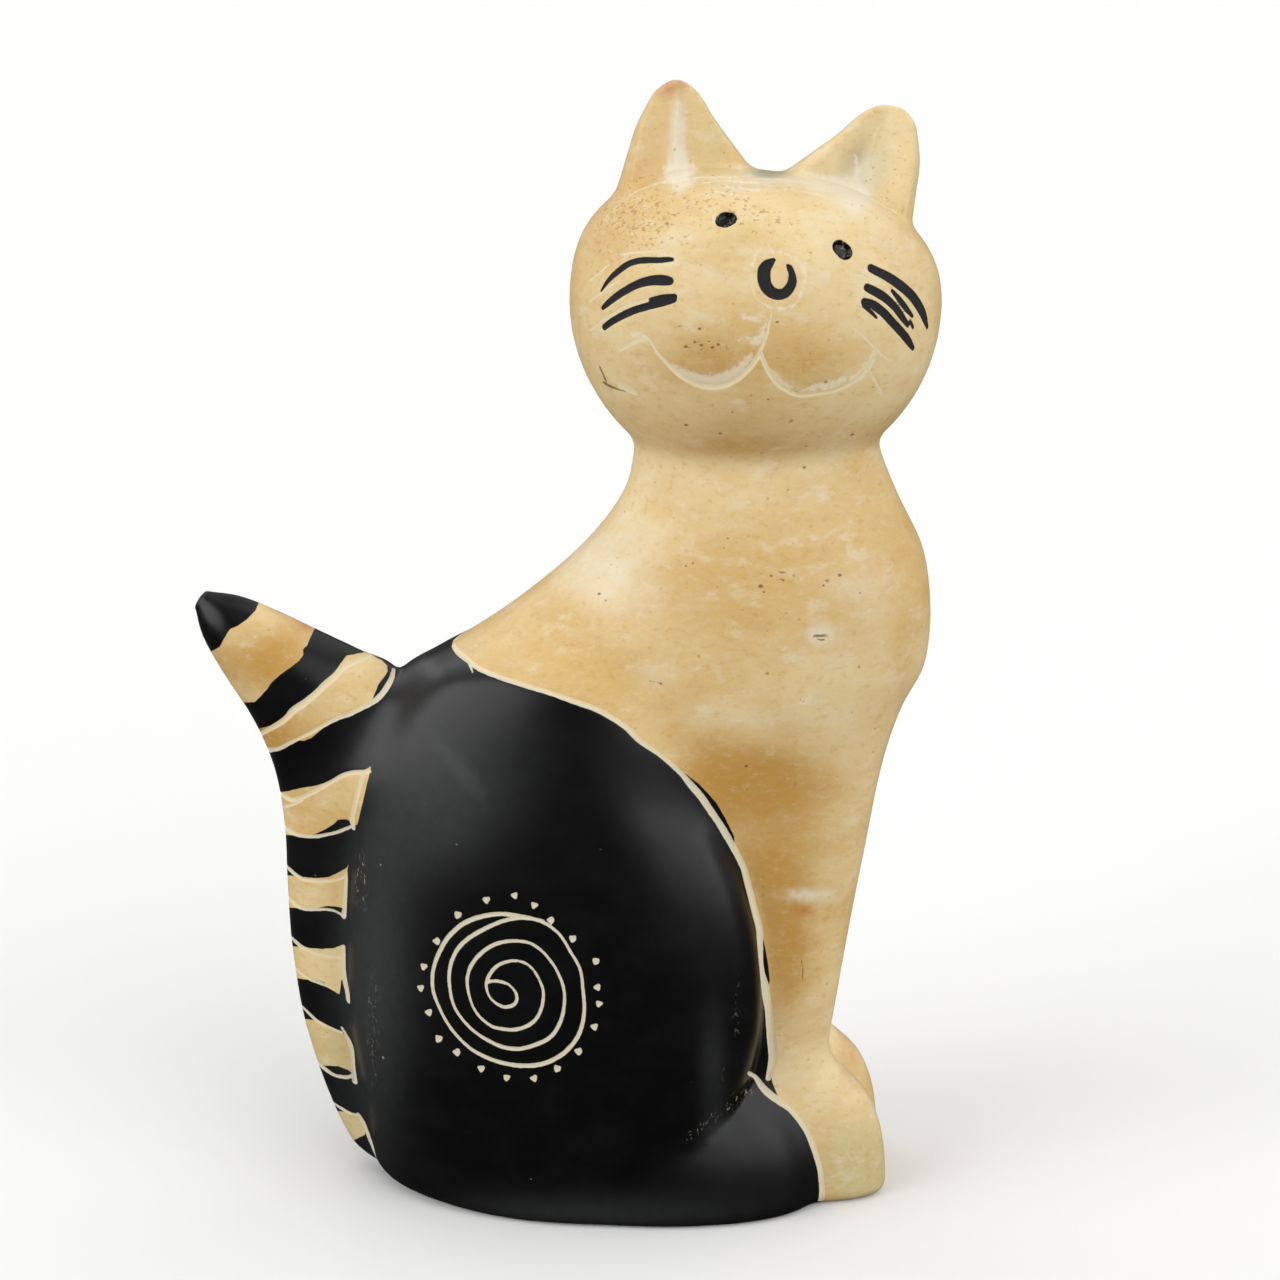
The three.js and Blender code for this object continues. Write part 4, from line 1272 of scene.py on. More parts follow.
@dataclass(frozen=True)
class TailDrawing:
    """The tail's bands: stone left bare between black ones, each edged by pale lines."""

    bands: tuple = (
        ((-51.1, 5.1), (-51.5, 4), (-52.5, 2.9), (-53.2, 2.4), (-53.9, 1.9), (-54.9, 1.5),
         (-55.3, 0.9), (-55.9, -0.1), (-56.3, -0.9), (-59.6, -2.7), (-55.1, -9.6), (-55.8, -8.5),
         (-51.6, -8.3), (-50.9, -7.6), (-50, -6.6), (-49.3, -5.6), (-48.4, -4.8), (-47.6, -4.2),
         (-46.6, -3.5), (-45.7, -2.8), (-45.1, -2), (-45.2, -1.3), (-44.6, -0.7), (-44.1, 0.5),
         (-43.2, 2.4), (-46.9, 5.4)),
        ((-36.7, -1.6), (-39.3, -2.1), (-40.1, -3.1), (-40.9, -4.3), (-41.8, -5.1), (-43.2, -6.4),
         (-44.2, -7.5), (-45.3, -8.2), (-46.4, -9), (-47.2, -9.8), (-48.2, -10.7), (-49.6, -11.5),
         (-53.7, -12.6), (-52.6, -15), (-52.7, -14.7), (-48.2, -14.5), (-46.9, -13.8),
         (-46.2, -13.4), (-45, -13.5), (-44, -13.1), (-42.5, -11.8), (-40.5, -10.5), (-38.9, -9.8),
         (-37.3, -9.1), (-36, -8.3), (-35.8, -7.8), (-35.4, -6.8), (-35.1, -6), (-34.4, -5.1),
         (-33.8, -4.2), (-33.9, -3.4), (-34.6, -2.7)),
        ((-36, -16.9), (-37.5, -17.7), (-39.1, -17.8), (-40.5, -18.4), (-41.8, -19), (-43.7, -19.6),
         (-45.3, -19.8), (-46.9, -20.2), (-51.1, -20.9), (-51.2, -20.4), (-50.6, -25.2),
         (-50.6, -25.3), (-50.4, -25.9), (-44.5, -26.3), (-43.3, -25.9), (-42.1, -25.3),
         (-41.1, -24.7), (-40.5, -24.1), (-39.4, -24), (-38.9, -24.3), (-38.7, -24.8),
         (-37.9, -24.8)),
        ((-39, -30), (-39.4, -30.6), (-40.5, -31.2), (-41.8, -31.8), (-43.2, -31.9), (-45, -31.8),
         (-50.2, -31.2), (-50.3, -29.7), (-49.9, -34.6), (-49.9, -35), (-49.9, -35.6), (-45, -36),
         (-43.2, -35.9), (-41.8, -35.6), (-40.2, -35.8), (-39.6, -36), (-39.3, -31.4)),
        ((-40, -40.9), (-41, -41.3), (-42.6, -41.4), (-44.2, -41.3), (-49.4, -40.7), (-49.5, -39.4),
         (-49, -43.7), (-48.8, -44.4), (-48.8, -45), (-43.7, -45.6), (-42.3, -45.9), (-41.8, -46.6),
         (-40.3, -47.5), (-40, -45.6), (-39.7, -45.3), (-39.7, -40.9)),
        ((-48.2, -48.8), (-48, -49.5), (-47.8, -50.4), (-43.2, -51), (-42.6, -51.2), (-41.8, -51.7),
         (-39.9, -52.6), (-39.3, -53.2), (-38.7, -54.7), (-38.5, -56.3), (-38.6, -58),
         (-39.1, -57.6), (-40.5, -57.1), (-45.9, -56.9), (-46.2, -56.3), (-46.6, -55.2)),
        ((-44.1, -61.4), (-43.7, -62.3), (-43.5, -62.8), (-38.9, -63.3), (-37.8, -63.7),
         (-37.1, -64.7), (-36.7, -65.7), (-36.9, -66.3), (-40.5, -68.1), (-41.2, -67.1),
         (-41.9, -65.9)),
    )
    edges: tuple = (
        ((-36.2, -2.1, 0.3), (-37.4, -2.6, 0.55), (-38.7, -3.1, 0.75), (-39.9, -3.8, 0.8),
         (-41, -5, 0.86), (-42.1, -5.9, 0.91), (-43.2, -7, 0.8), (-44.2, -7.8, 0.8),
         (-45.3, -8.7, 0.91), (-46.4, -9.4, 0.91), (-47.4, -10.5, 0.75), (-48.5, -11.3, 0.7),
         (-49.6, -11.9, 0.59), (-50.9, -12.7, 0.5), (-50.9, -12.7, 0.45)),
        ((-33, -3.9, 0.38), (-33.3, -5.1, 0.64), (-33.9, -6.3, 0.7), (-34.7, -7.4, 0.7),
         (-35.9, -8.4, 0.64), (-37.3, -9.1, 0.59), (-38.9, -9.9, 0.59), (-40.5, -10.5, 0.48),
         (-42.1, -11.3, 0.48), (-43.7, -12.2, 0.48), (-45.3, -13, 0.43), (-46.9, -13.8, 0.48),
         (-48.2, -14.5, 0.48), (-49.3, -14.7, 0.43), (-50.4, -14.8, 0.4), (-50.6, -14.8, 0.4)),
        ((-36.2, -17.6, 0.43), (-37.3, -17.7, 0.54), (-38.6, -17.8, 0.54), (-39.9, -18.2, 0.54),
         (-41.3, -19, 0.54), (-42.6, -19.7, 0.54), (-44, -20.5, 0.54), (-45.3, -21.1, 0.54),
         (-46.6, -21.4, 0.59), (-47.7, -20.9, 0.43), (-48.5, -20.4, 0.32), (-49.1, -20, 0.32)),
        ((-48.5, -22.4, 0.27), (-47.6, -22.3, 0.38), (-46.4, -22, 0.38), (-45.3, -21.4, 0.38)),
        ((-37, -17.7, 0.43), (-37.5, -19.3, 0.54), (-37.9, -20.9, 0.54), (-38.3, -22.5, 0.54),
         (-38.6, -23.9, 0.59), (-38.4, -25.2, 0.43)),
        ((-38.3, -24.8, 0.38), (-39.4, -25.3, 0.38), (-40.7, -25.8, 0.38), (-42.1, -26.1, 0.38),
         (-43.2, -26.3, 0.43), (-44.5, -26.3, 0.43), (-45.8, -26.1, 0.48), (-46.9, -25.6, 0.54),
         (-47.7, -25, 0.38), (-48.5, -24.4, 0.38)),
        ((-48.2, -29.6, 0.3), (-47.7, -30, 0.27), (-46.9, -30.8, 0.32), (-46.1, -31.5, 0.38),
         (-45, -32.1, 0.38), (-43.4, -32.3, 0.43), (-41.8, -32.3, 0.38), (-40.5, -32.1, 0.32),
         (-39.5, -31.6, 0.27)),
        ((-39.3, -31.2, 0.21), (-39.4, -32.7, 0.38), (-39.5, -34.3, 0.48), (-39.6, -35.9, 0.54),
         (-39.7, -37, 0.59)),
        ((-47.9, -33.9, 0.3), (-47.4, -34.3, 0.27), (-46.8, -34.8, 0.32), (-46.1, -35.5, 0.43),
         (-45, -36, 0.43), (-43.4, -36.1, 0.38), (-42.1, -36.1, 0.32), (-41, -36.3, 0.27),
         (-39.8, -36.9, 0.27)),
        ((-47.2, -39.5, 0.27), (-46.4, -40.2, 0.32), (-45.4, -41.1, 0.38), (-44.2, -41.6, 0.38),
         (-43.2, -42, 0.38), (-41.8, -42.3, 0.38), (-40.7, -42.5, 0.32), (-39.8, -42.6, 0.21)),
        ((-39.7, -41.1, 0.38), (-39.7, -42.9, 0.43), (-39.7, -44.2, 0.48), (-39.5, -45.8, 0.54),
         (-39.2, -47.2, 0.54), (-39.1, -48.2, 0.54)),
        ((-46.6, -43.7, 0.21), (-45.7, -44.4, 0.27), (-44.8, -45.1, 0.32), (-43.7, -45.7, 0.32),
         (-42.3, -46.2, 0.32), (-41, -46.8, 0.21)),
        ((-46.1, -48.4, 0.3), (-45.6, -48.8, 0.21), (-44.8, -49.6, 0.27), (-44, -50.4, 0.32),
         (-43.2, -51.1, 0.32), (-42.1, -51.7, 0.27), (-41, -52.2, 0.27), (-40, -52.6, 0.21)),
        ((-40, -51.9, 0.21), (-39.3, -53.1, 0.32), (-38.7, -54.4, 0.43), (-38.5, -56, 0.48),
         (-38.4, -57.6, 0.48), (-38.2, -59.2, 0.59)),
        ((-44.1, -55.8, 0.32), (-43.4, -56.4, 0.32), (-42.7, -57.1, 0.43), (-41.8, -57.8, 0.38),
         (-41, -58.3, 0.32), (-40.2, -58.5, 0.38), (-39.1, -58.6, 0.43), (-38.5, -58.2, 0.21)),
        ((-41.9, -61.3, 0.3), (-41.5, -61.6, 0.21), (-40.6, -62.4, 0.27), (-39.8, -62.9, 0.32),
         (-38.9, -63.4, 0.27), (-37.8, -63.7, 0.21)),
        ((-37.8, -63.5, 0.27), (-37.1, -64.6, 0.38), (-36.6, -65.9, 0.43), (-36, -67.5, 0.43),
         (-35.5, -69, 0.48), (-35.1, -70.2, 0.38), (-36, -69.5, 0.38)),
    )

    def strokes(self) -> list[Stroke]:
        """Lists the tail's lines, which go round both of its sides."""
        return [Stroke(places, both_sides=True) for places in self.edges]


class Tint(Enum):
    """A soft change of the stone's colour. Some are painted light or shade: the sheen on the
    black, part of the ochre and a few of the scuffs.
    """

    OCHRE_AND_SHADE = "ochre_and_painted_shade"
    CHALK = "chalk"
    MOSS = "moss"
    SHEEN_AND_FILM = "painted_sheen_and_film"
    RUST = "rust"
    FRECKLE = "freckle"
    SCUFF_AND_HIGHLIGHT = "scuff_and_highlight"
    SMOKE = "grey_brown"


@dataclass(frozen=True)
class Cloud:
    """A soft-edged spot on the sheet: its middle, its half sizes across and up, how strong it is
    in the middle, and how many degrees it is turned."""

    middle: Pair
    size: Pair
    strength: float = 1.0
    turn: float = 0.0

    def at(self, places: Array) -> Array:
        """Works out the spot's strength: a bell curve of the distance in half sizes.

        Args:
            places: across and up, one row each.

        Returns:
            The strength at each place.
        """
        along, across = turned_flat(*(places - self.middle).T, self.turn)
        half_along, half_across = self.size
        return self.strength * np.exp(-((along / half_along) ** 2) - (across / half_across) ** 2)


CLOUDS = {  # a middle, half sizes, a strength and sometimes a turn for each
    # Ochre stains, partly painted shade: under the mouth, under the chin, down the chest's right
    # edge and on the lower chest.
    Tint.OCHRE_AND_SHADE: (
        ((16, -20), (12, 9), 0.62), ((17, -19), (9, 4.5), 0.3), ((9.5, -19), (7, 5), 0.35),
        ((18, -32), (8, 7), 0.45), ((7, -13), (9, 4), 0.25, -35), ((20, -38), (4, 9), 0.4),
        ((16, 1), (6, 3), 0.25, -20), ((14, 25.5), (11, 1.6), 0.45), ((9, 37.5), (8.5, 4.2), 0.65),
        ((23, 37), (7, 3.6), 0.28), ((17, 29), (16, 4), 0.4), ((11, 52.5), (7, 2.5), 0.3, 25),
        ((36, 12), (2.5, 20), 0.25), ((-50, -3), (7, 5), 0.75), ((-50, -13), (5, 3), 0.7),
        ((19, -46), (5, 12), 0.45), ((-47, -1), (6, 5), 0.2),
    ),
    Tint.CHALK: (
        ((-5, 8), (8, 8), 0.3), ((2.2, 67), (3, 6), 0.3), ((14, 14), (16, 5), 0.3),
        ((24.3, 0.7), (3.2, 2.0), 0.7), ((31, 4), (5, 12), 0.35), ((7, 4), (8, 4), 0.3),
        ((2, -5), (4, 3), 0.5), ((15, -10.5), (13, 1.8), 0.5), ((26, 7), (5, 2.5), 0.35),
        ((-5, 10), (7, 6), 0.4), ((22.5, -34.2), (5, 1.2), 0.8), ((5.3, 62.7), (1.8, 3.0), 0.6),
        ((5.2, 68), (1.2, 5.5), 0.9), ((30.0, 62.3), (2.0, 4.5), 0.75, -18),
        ((27.5, 59.5), (5.5, 3.0), 0.6, -35), ((16, 61.5), (14, 1.6), 0.55),
    ),
    Tint.MOSS: (
        ((9.5, 66), (3.2, 5), 0.7), ((31, 64), (3.4, 5), 0.7, -30), ((17.5, 62.8), (5, 1.2), 0.8),
        ((29, -70), (6.5, 7), 0.7), ((31, -71), (5, 6), 0.5), ((-40, -60), (6, 12), 0.8),
    ),
    # Painted sheen and highlights on the black haunch and hind foot, with a small wax film near the
    # tail's root and a paler band along the base.
    Tint.SHEEN_AND_FILM: (
        ((-28.3, -3.6), (1.5, 0.9), 0.9, -30), ((-27.5, -4.6), (0.9, 0.7), 0.6, 20),
        ((-23, -16), (12, 11), 0.45, -25), ((-24.6, -16.8), (0.9, 4.6), 0.5, 39),
        ((0, -22), (3.8, 9), 0.34, 35), ((-36, -45), (6, 27), 0.72), ((-8, -77), (28, 3.5), 0.45),
        ((9.8, -57), (2.2, 9), 0.45), ((-27, -27), (7, 7), 0.3),
        ((10.5, -65.5), (3.5, 2.5), 0.3, 35),
    ),
    Tint.RUST: (
        ((28.9, -57.4), (2.6, 4), 0.55), ((-50, -2.5), (8, 5.5), 0.2),
        ((4.3, 74.3), (3.0, 1.8), 0.85, 20), ((-1, 68), (2.0, 5.0), 0.35, 15),
        ((-46, 2.5), (5, 1.6), 0.5, -30), ((22.2, -36.4), (1.7, 0.9), 1.0),
    ),
    Tint.FRECKLE: (
        ((-1, 56.5), (9, 6), 1.0), ((15, 57.5), (9, 3), 0.8, -20), ((9, 39), (6, 3), 0.5),
        ((34, 62), (5, 7), 0.4),
    ),
    # Pale scuffs worn through the black; the two on the hind foot's crest are partly a painted
    # highlight.
    Tint.SCUFF_AND_HIGHLIGHT: (
        ((-37.4, -32.5), (0.8, 4.0), 0.9), ((-29.4, -21.5), (1.2, 1.2), 0.4),
        ((-35.8, -52), (0.9, 9), 0.6), ((13, -61.5), (2.6, 0.8), 0.85, 35),
        ((8.6, -65), (3.8, 0.8), 0.85, 40), ((13, -50), (0.7, 7), 0.45),
    ),
    # Greyer clouds on the crown between the ears, in the right ear's hollow and along the mouth.
    Tint.SMOKE: (
        ((29.4, 65.0), (1.2, 3.6), 0.4, -25), ((17.3, 62.6), (2.6, 0.9), 1.0),
        ((14, 60.8), (7, 0.9), 0.4), ((27.5, 64.5), (1.4, 3.6), 0.45, -30),
        ((8.5, 35.4), (6, 1.2), 0.4), ((24, 34.8), (5, 1.2), 0.35, 8),
    ),
}


def put_up(name: str, data: bpy.types.ID) -> bpy.types.Object:
    """Makes an object of this data and links it to the scene.

    Args:
        name: the object's name.
        data: its mesh, lamp or camera.

    Returns:
        The object.
    """
    made = bpy.data.objects.new(name, data)
    bpy.context.scene.collection.objects.link(made)
    return made


@dataclass(frozen=True)
class CatFigurine:
    """The carved stone with everything that is cut into it and painted on it."""

    stone: Stone = Stone()
    sheet: Sheet = Sheet()
    face: FaceDrawing = FaceDrawing()
    haunch: HaunchDrawing = HaunchDrawing()
    tail: TailDrawing = TailDrawing()
    flaws: ChestFlaws = ChestFlaws()
    cell: float = 1.15
    fine: float = 0.24  # edge length at a line
    spread: float = 0.5  # how fast the edges grow away from it
    dye_ease: float = 0.3  # how much farther away a dyed edge counts than a line
    reach: float = 3.0  # how far from a line or a dyed edge its distance is kept
    bends: tuple = (0.006, 0.006, 9.0, 9.0, 9.0)  # how far an edge may bend, in each round
    bend_edge: float = 0.55  # no edge shorter than this is split for its bend
    spacing: float = 0.45  # of the places that a line passes
    beside: float = 0.15  # how far beside a line the stone's slant is measured
    widest: float = 1.9  # how much wider at most a line is made where the stone slants away
    bank: Triple = (-0.06, 0.22, 0.35)  # a cut's start, its end, and more by depth
    bank_reach: float = 0.5
    legs_from: float = 12.0  # X beyond which the dye stops at the forelegs
    legs_margin: float = 3.0

    def lines(self, skin: Skin) -> list[Line]:
        """Lays every stroke on the stone, and on the cat's left too where it has the same one. A
        stroke is as much wider on the stone as two places beside it lie farther apart there than
        on the sheet.

        Args:
            skin: the stone's skin.

        Returns:
            The lines.
        """
        parts = (self.face, self.flaws, self.haunch, self.tail)
        strokes = [stroke for part in parts for stroke in part.strokes()]
        rows = [stroke.flowing(self.spacing) for stroke in strokes]
        places = np.concatenate(rows)[:, :2]
        ways = np.concatenate([np.gradient(row[:, :2], axis=0) for row in rows])
        beside = np.stack([-ways[:, 1], ways[:, 0]], 1) * self.beside
        beside /= np.linalg.norm(ways, axis=1)[:, None]
        laid, left, right = (
            self.sheet.cast(places + side * beside, skin) for side in (0, 1, -1)
        )
        apart = np.linalg.norm(left - right, axis=1)
        wider = np.clip(apart / (2 * self.beside), 1, self.widest)
        cuts = np.cumsum([len(row) for row in rows])[:-1]
        made = []
        parts = zip(strokes, rows, np.split(laid, cuts), np.split(wider, cuts))
        for stroke, row, points, swell in parts:
            half_width = row[:, 2] / 2 * swell
            for mirror in ([1, 1, 1], [1, -1, 1])[: 2 if stroke.both_sides else 1]:
                made.append(Line(points * mirror, half_width, stroke.mark, stroke.depth))
        return made

    def dye(self, points: Array) -> Array:
        """Works out how far inside the black places are: inside the haunch's outline, outside
        every bare band of the tail, and nearer to a haunch than to a foreleg.

        Args:
            points: places in millimetres, one row each.

        Returns:
            The distances in millimetres.
        """
        seen = self.sheet.seen(points)
        made = Patch(self.haunch.black).inside(seen)
        for band in self.tail.bands:
            made = np.minimum(made, -Patch(band).inside(seen))
        front = points[:, 0] > self.legs_from
        behind = self.stone.legs_behind_haunches(points[front])
        made[front] = np.minimum(made[front], behind + self.legs_margin)
        return np.clip(made, -self.reach, self.reach)

    def marked(self, points: Array, lines: list[Line], mark: Mark) -> Array:
        """Works out how far inside the lines of one kind places are.

        Args:
            points: places in millimetres, one row each.
            lines: all lines.
            mark: the kind.

        Returns:
            The distances in millimetres.
        """
        made = np.full(len(points), -self.reach)
        for line in lines:
            if line.mark is mark:
                made = np.maximum(made, line.inside(points, self.reach))
        return made

    def sunk(self, points: Array, lines: list[Line]) -> Array:
        """Works out how deep places are cut: each line's depth, reached softly inside its edge.

        Args:
            points: places in millimetres, one row each.
            lines: all lines.

        Returns:
            The depths in millimetres.
        """
        made = np.zeros(len(points))
        start, end, more = self.bank
        for line in lines:
            share = eased(start, end + more * line.depth, line.inside(points, self.bank_reach))
            made = np.maximum(made, line.depth * share)
        return made

    def carved(self) -> tuple[Skin, list[Line]]:
        """Makes the stone's skin, with short edges where lines and dyed edges run.

        Returns:
            The skin, before its lines are cut, and the lines.
        """
        stone = self.stone
        skin = Skin.around(stone.field, stone.low, stone.high, self.cell).relaxed(2)
        lines = self.lines(skin)

        def sizes(points: Array) -> Array:
            """Gives the edge length wanted: fine at a line or a dyed edge, longer away from it.

            Args:
                points: places in millimetres, one row each.

            Returns:
                The lengths.
            """
            made = np.abs(self.dye(points)) + self.dye_ease
            for line in lines:
                made = np.minimum(made, -line.inside(points, self.reach))
            return self.fine + self.spread * np.maximum(made, 0)

        for bend in self.bends:
            skin.divided(sizes, bend, self.bend_edge, self.fine)
        return skin, lines

    def worked(self) -> tuple[Array, Array, dict[str, Array]]:
        """Cuts the lines into the skin and reads what its points need to be coloured by.

        Returns:
            The points in metres, the triangles, and for each point its distances inside the black
            and inside each kind of line, in millimetres, and the strength of each tint.
        """
        skin, lines = self.carved()
        points = skin.points
        slope = skin.slope(points)
        normal = slope / np.linalg.norm(slope, axis=1, keepdims=True)
        place = (points - normal * self.sunk(points, lines)[:, None] + [MIDDLE_SHIFT, 0, 0]) * MM
        place[:, 2] = np.maximum(place[:, 2], 0)
        values = {DYE: self.dye(points)}
        for mark in Mark:
            values[mark.value] = self.marked(points, lines, mark)
        seen = self.sheet.seen(points)
        for tint, spots in CLOUDS.items():
            values[tint.value] = np.clip(sum(Cloud(*spot).at(seen) for spot in spots), 0, 1)
        return place, skin.triangles, values

    def piece(self) -> bpy.types.Object:
        """Makes the cat's mesh, smooth all over, with what colours it kept on its points.

        Returns:
            The cat's object.
        """
        place, triangles, values = self.worked()
        mesh = bpy.data.meshes.new(PIECE)
        mesh.from_pydata(place.tolist(), [], triangles.tolist())
        mesh.polygons.foreach_set("use_smooth", np.ones(len(triangles), bool))
        for name, numbers in values.items():
            layer = mesh.attributes.new(name, "FLOAT", "POINT")
            layer.data.foreach_set("value", numbers.astype(np.float32))
        mesh.update()
        LOG.info("%s: %d points, %d triangles", PIECE, len(place), len(triangles))
        return put_up(PIECE, mesh)


# Finishes


def tone(red: int, green: int, blue: int) -> tuple[float, float, float, float]:
    """Turns a colour of a screen into the linear one that a shader reads.

    Args:
        red: 0 to 255, as the next two.
        green: the same for green.
        blue: the same for blue.

    Returns:
        Red, green, blue and full cover, 0 to 1.
    """
    linear = []
    for part in (red / 255, green / 255, blue / 255):
        linear.append(part / 12.92 if part <= 0.04045 else ((part + 0.055) / 1.055) ** 2.4)
    return (*linear, 1.0)


@dataclass(frozen=True)
class Wire:
    """An output socket whose number can be added, taken away, multiplied and compared."""

    bench: "Bench"
    socket: bpy.types.NodeSocket

    def worked_out(self, operation: str, *values: object) -> "Wire":
        """Adds a Math node of this operation, with these inputs."""
        return self.bench.node("ShaderNodeMath", {"operation": operation}, dict(enumerate(values)))

    def __add__(self, other: object) -> "Wire":
        """Adds."""
        return self.worked_out("ADD", self, other)

    def __sub__(self, other: object) -> "Wire":
        """Takes away."""
        return self.worked_out("SUBTRACT", self, other)

    def __rsub__(self, other: object) -> "Wire":
        """Takes away from a number."""
        return self.worked_out("SUBTRACT", other, self)

    def __mul__(self, other: object) -> "Wire":
        """Multiplies."""
        return self.worked_out("MULTIPLY", self, other)

    __radd__ = __add__
    __rmul__ = __mul__

    def or_more(self, other: object) -> "Wire":
        """Gives the larger of the two."""
        return self.worked_out("MAXIMUM", self, other)

    def rising(self, low: float, high: float) -> "Wire":
        """Gives 0 at low and below, 1 at high and above, and eases between them."""
        limits = {0: self, 1: low, 2: high, 3: 0.0, 4: 1.0}
        return self.bench.node("ShaderNodeMapRange", {"interpolation_type": "SMOOTHSTEP"}, limits)


class Bench:
    """The nodes of one material."""

    def __init__(self, name: str) -> None:
        """Starts a material with an empty tree and its output.

        Args:
            name: the material's name.
        """
        self.material = bpy.data.materials.new(name)
        self.material.use_nodes = True
        self.tree = self.material.node_tree
        self.tree.nodes.clear()
        self.output = self.tree.nodes.new("ShaderNodeOutputMaterial")

    def node(
        self,
        kind: str,
        settings: dict | None = None,
        inputs: dict | None = None,
        out: int | str = 0,
    ) -> Wire:
        """Adds a node.

        Args:
            kind: the node's type.
            settings: its properties, set before anything is joined to it.
            inputs: a value or a wire for each of its sockets, by number or name.
            out: which output to give back.

        Returns:
            A wire from that output.
        """
        made = self.tree.nodes.new(kind)
        for key, value in (settings or {}).items():
            setattr(made, key, value)
        for key, value in (inputs or {}).items():
            if isinstance(value, Wire):
                self.tree.links.new(value.socket, made.inputs[key])
            else:
                made.inputs[key].default_value = value
        return Wire(self, made.outputs[out])

    def kept(self, name: str | Tint | Mark) -> Wire:
        """Reads a number kept on the mesh's points, by its name or by what it is of."""
        name = name if isinstance(name, str) else name.value
        return self.node("ShaderNodeAttribute", {"attribute_name": name}, out="Fac")

    def place(self, scale: Triple = (1, 1, 1)) -> Wire:
        """Gives the place on the object, stretched by a scale along each axis."""
        here = self.node("ShaderNodeTexCoord", out="Object")
        return self.node("ShaderNodeVectorMath", {"operation": "MULTIPLY"}, {0: here, 1: scale})

    def noise(
        self, size: float, stretch: tuple = (1, 1, 1), detail: float = 2.0, rough: float = 0.5
    ) -> Wire:
        """Gives noise of about 0 to 1 whose blotches have a size in millimetres."""
        scale = {"Scale": 1 / (size * MM), "Detail": detail, "Roughness": rough}
        return self.node("ShaderNodeTexNoise", {}, {"Vector": self.place(stretch)} | scale, "Fac")

    def specks(self, size: float, radius: float, share: Wire | float) -> Wire:
        """Gives 1 in ragged specks: one cell in some, of a size in millimetres, has a speck whose
        radius is a share of the cell.

        Args:
            size: the size of a cell.
            radius: the largest speck's radius as a share of it.
            share: how many of the cells have one.

        Returns:
            1 in a speck, 0 outside.
        """
        scale = {"Vector": self.place((1, 1, 1.15)), "Scale": 1 / (size * MM)}
        far = self.node("ShaderNodeTexVoronoi", {}, scale, "Distance")
        colour = self.node("ShaderNodeTexVoronoi", {}, scale, "Color")
        pick = self.node("ShaderNodeSeparateColor", {}, {0: colour}, 0)
        own_size = self.node("ShaderNodeSeparateColor", {}, {0: colour}, 1) * radius
        ragged = (self.noise(0.3 * size) - 0.5) * radius * 1.6
        chosen = (share - pick).rising(0.0, 0.02)
        return (own_size - far + ragged).rising(-0.03, 0.03) * chosen

    def mixed(self, share: Wire | float, first: object, second: object) -> Wire:
        """Blends two colours: the first where the share is 0, the second where it is 1."""
        settings = {"data_type": "RGBA", "clamp_factor": True}
        return self.node("ShaderNodeMix", settings, {0: share, 6: first, 7: second}, 2)

    def layered(self, base: object, layers: tuple) -> Wire:
        """Lays colours over a base, each as thick as its wire rises between two limits.

        Args:
            base: the colour underneath.
            layers: a wire, its two limits, the thickness where it is past both, and a colour each.

        Returns:
            The colour on top.
        """
        made = base
        for wire, (low, high), thickness, colour in layers:
            made = self.mixed(wire.rising(low, high) * thickness, made, colour)
        return made

    def speckled(self, base: object, specks: tuple) -> Wire:
        """Puts specks on a base.

        Args:
            base: the colour underneath.
            specks: a cell's size, a radius, how many cells have one, a strength and a colour each.

        Returns:
            The colour on top.
        """
        made = base
        for size, radius, share, strength, colour in specks:
            made = self.mixed(self.specks(size, radius, share) * strength, made, colour)
        return made

    def finished(self, inputs: dict) -> bpy.types.Material:
        """Ends the tree in its shader.

        Args:
            inputs: a value or a wire for each of the shader's sockets.

        Returns:
            The material.
        """
        shader = self.node("ShaderNodeBsdfPrincipled", {}, inputs, "BSDF")
        self.tree.links.new(shader.socket, self.output.inputs["Surface"])
        return self.material


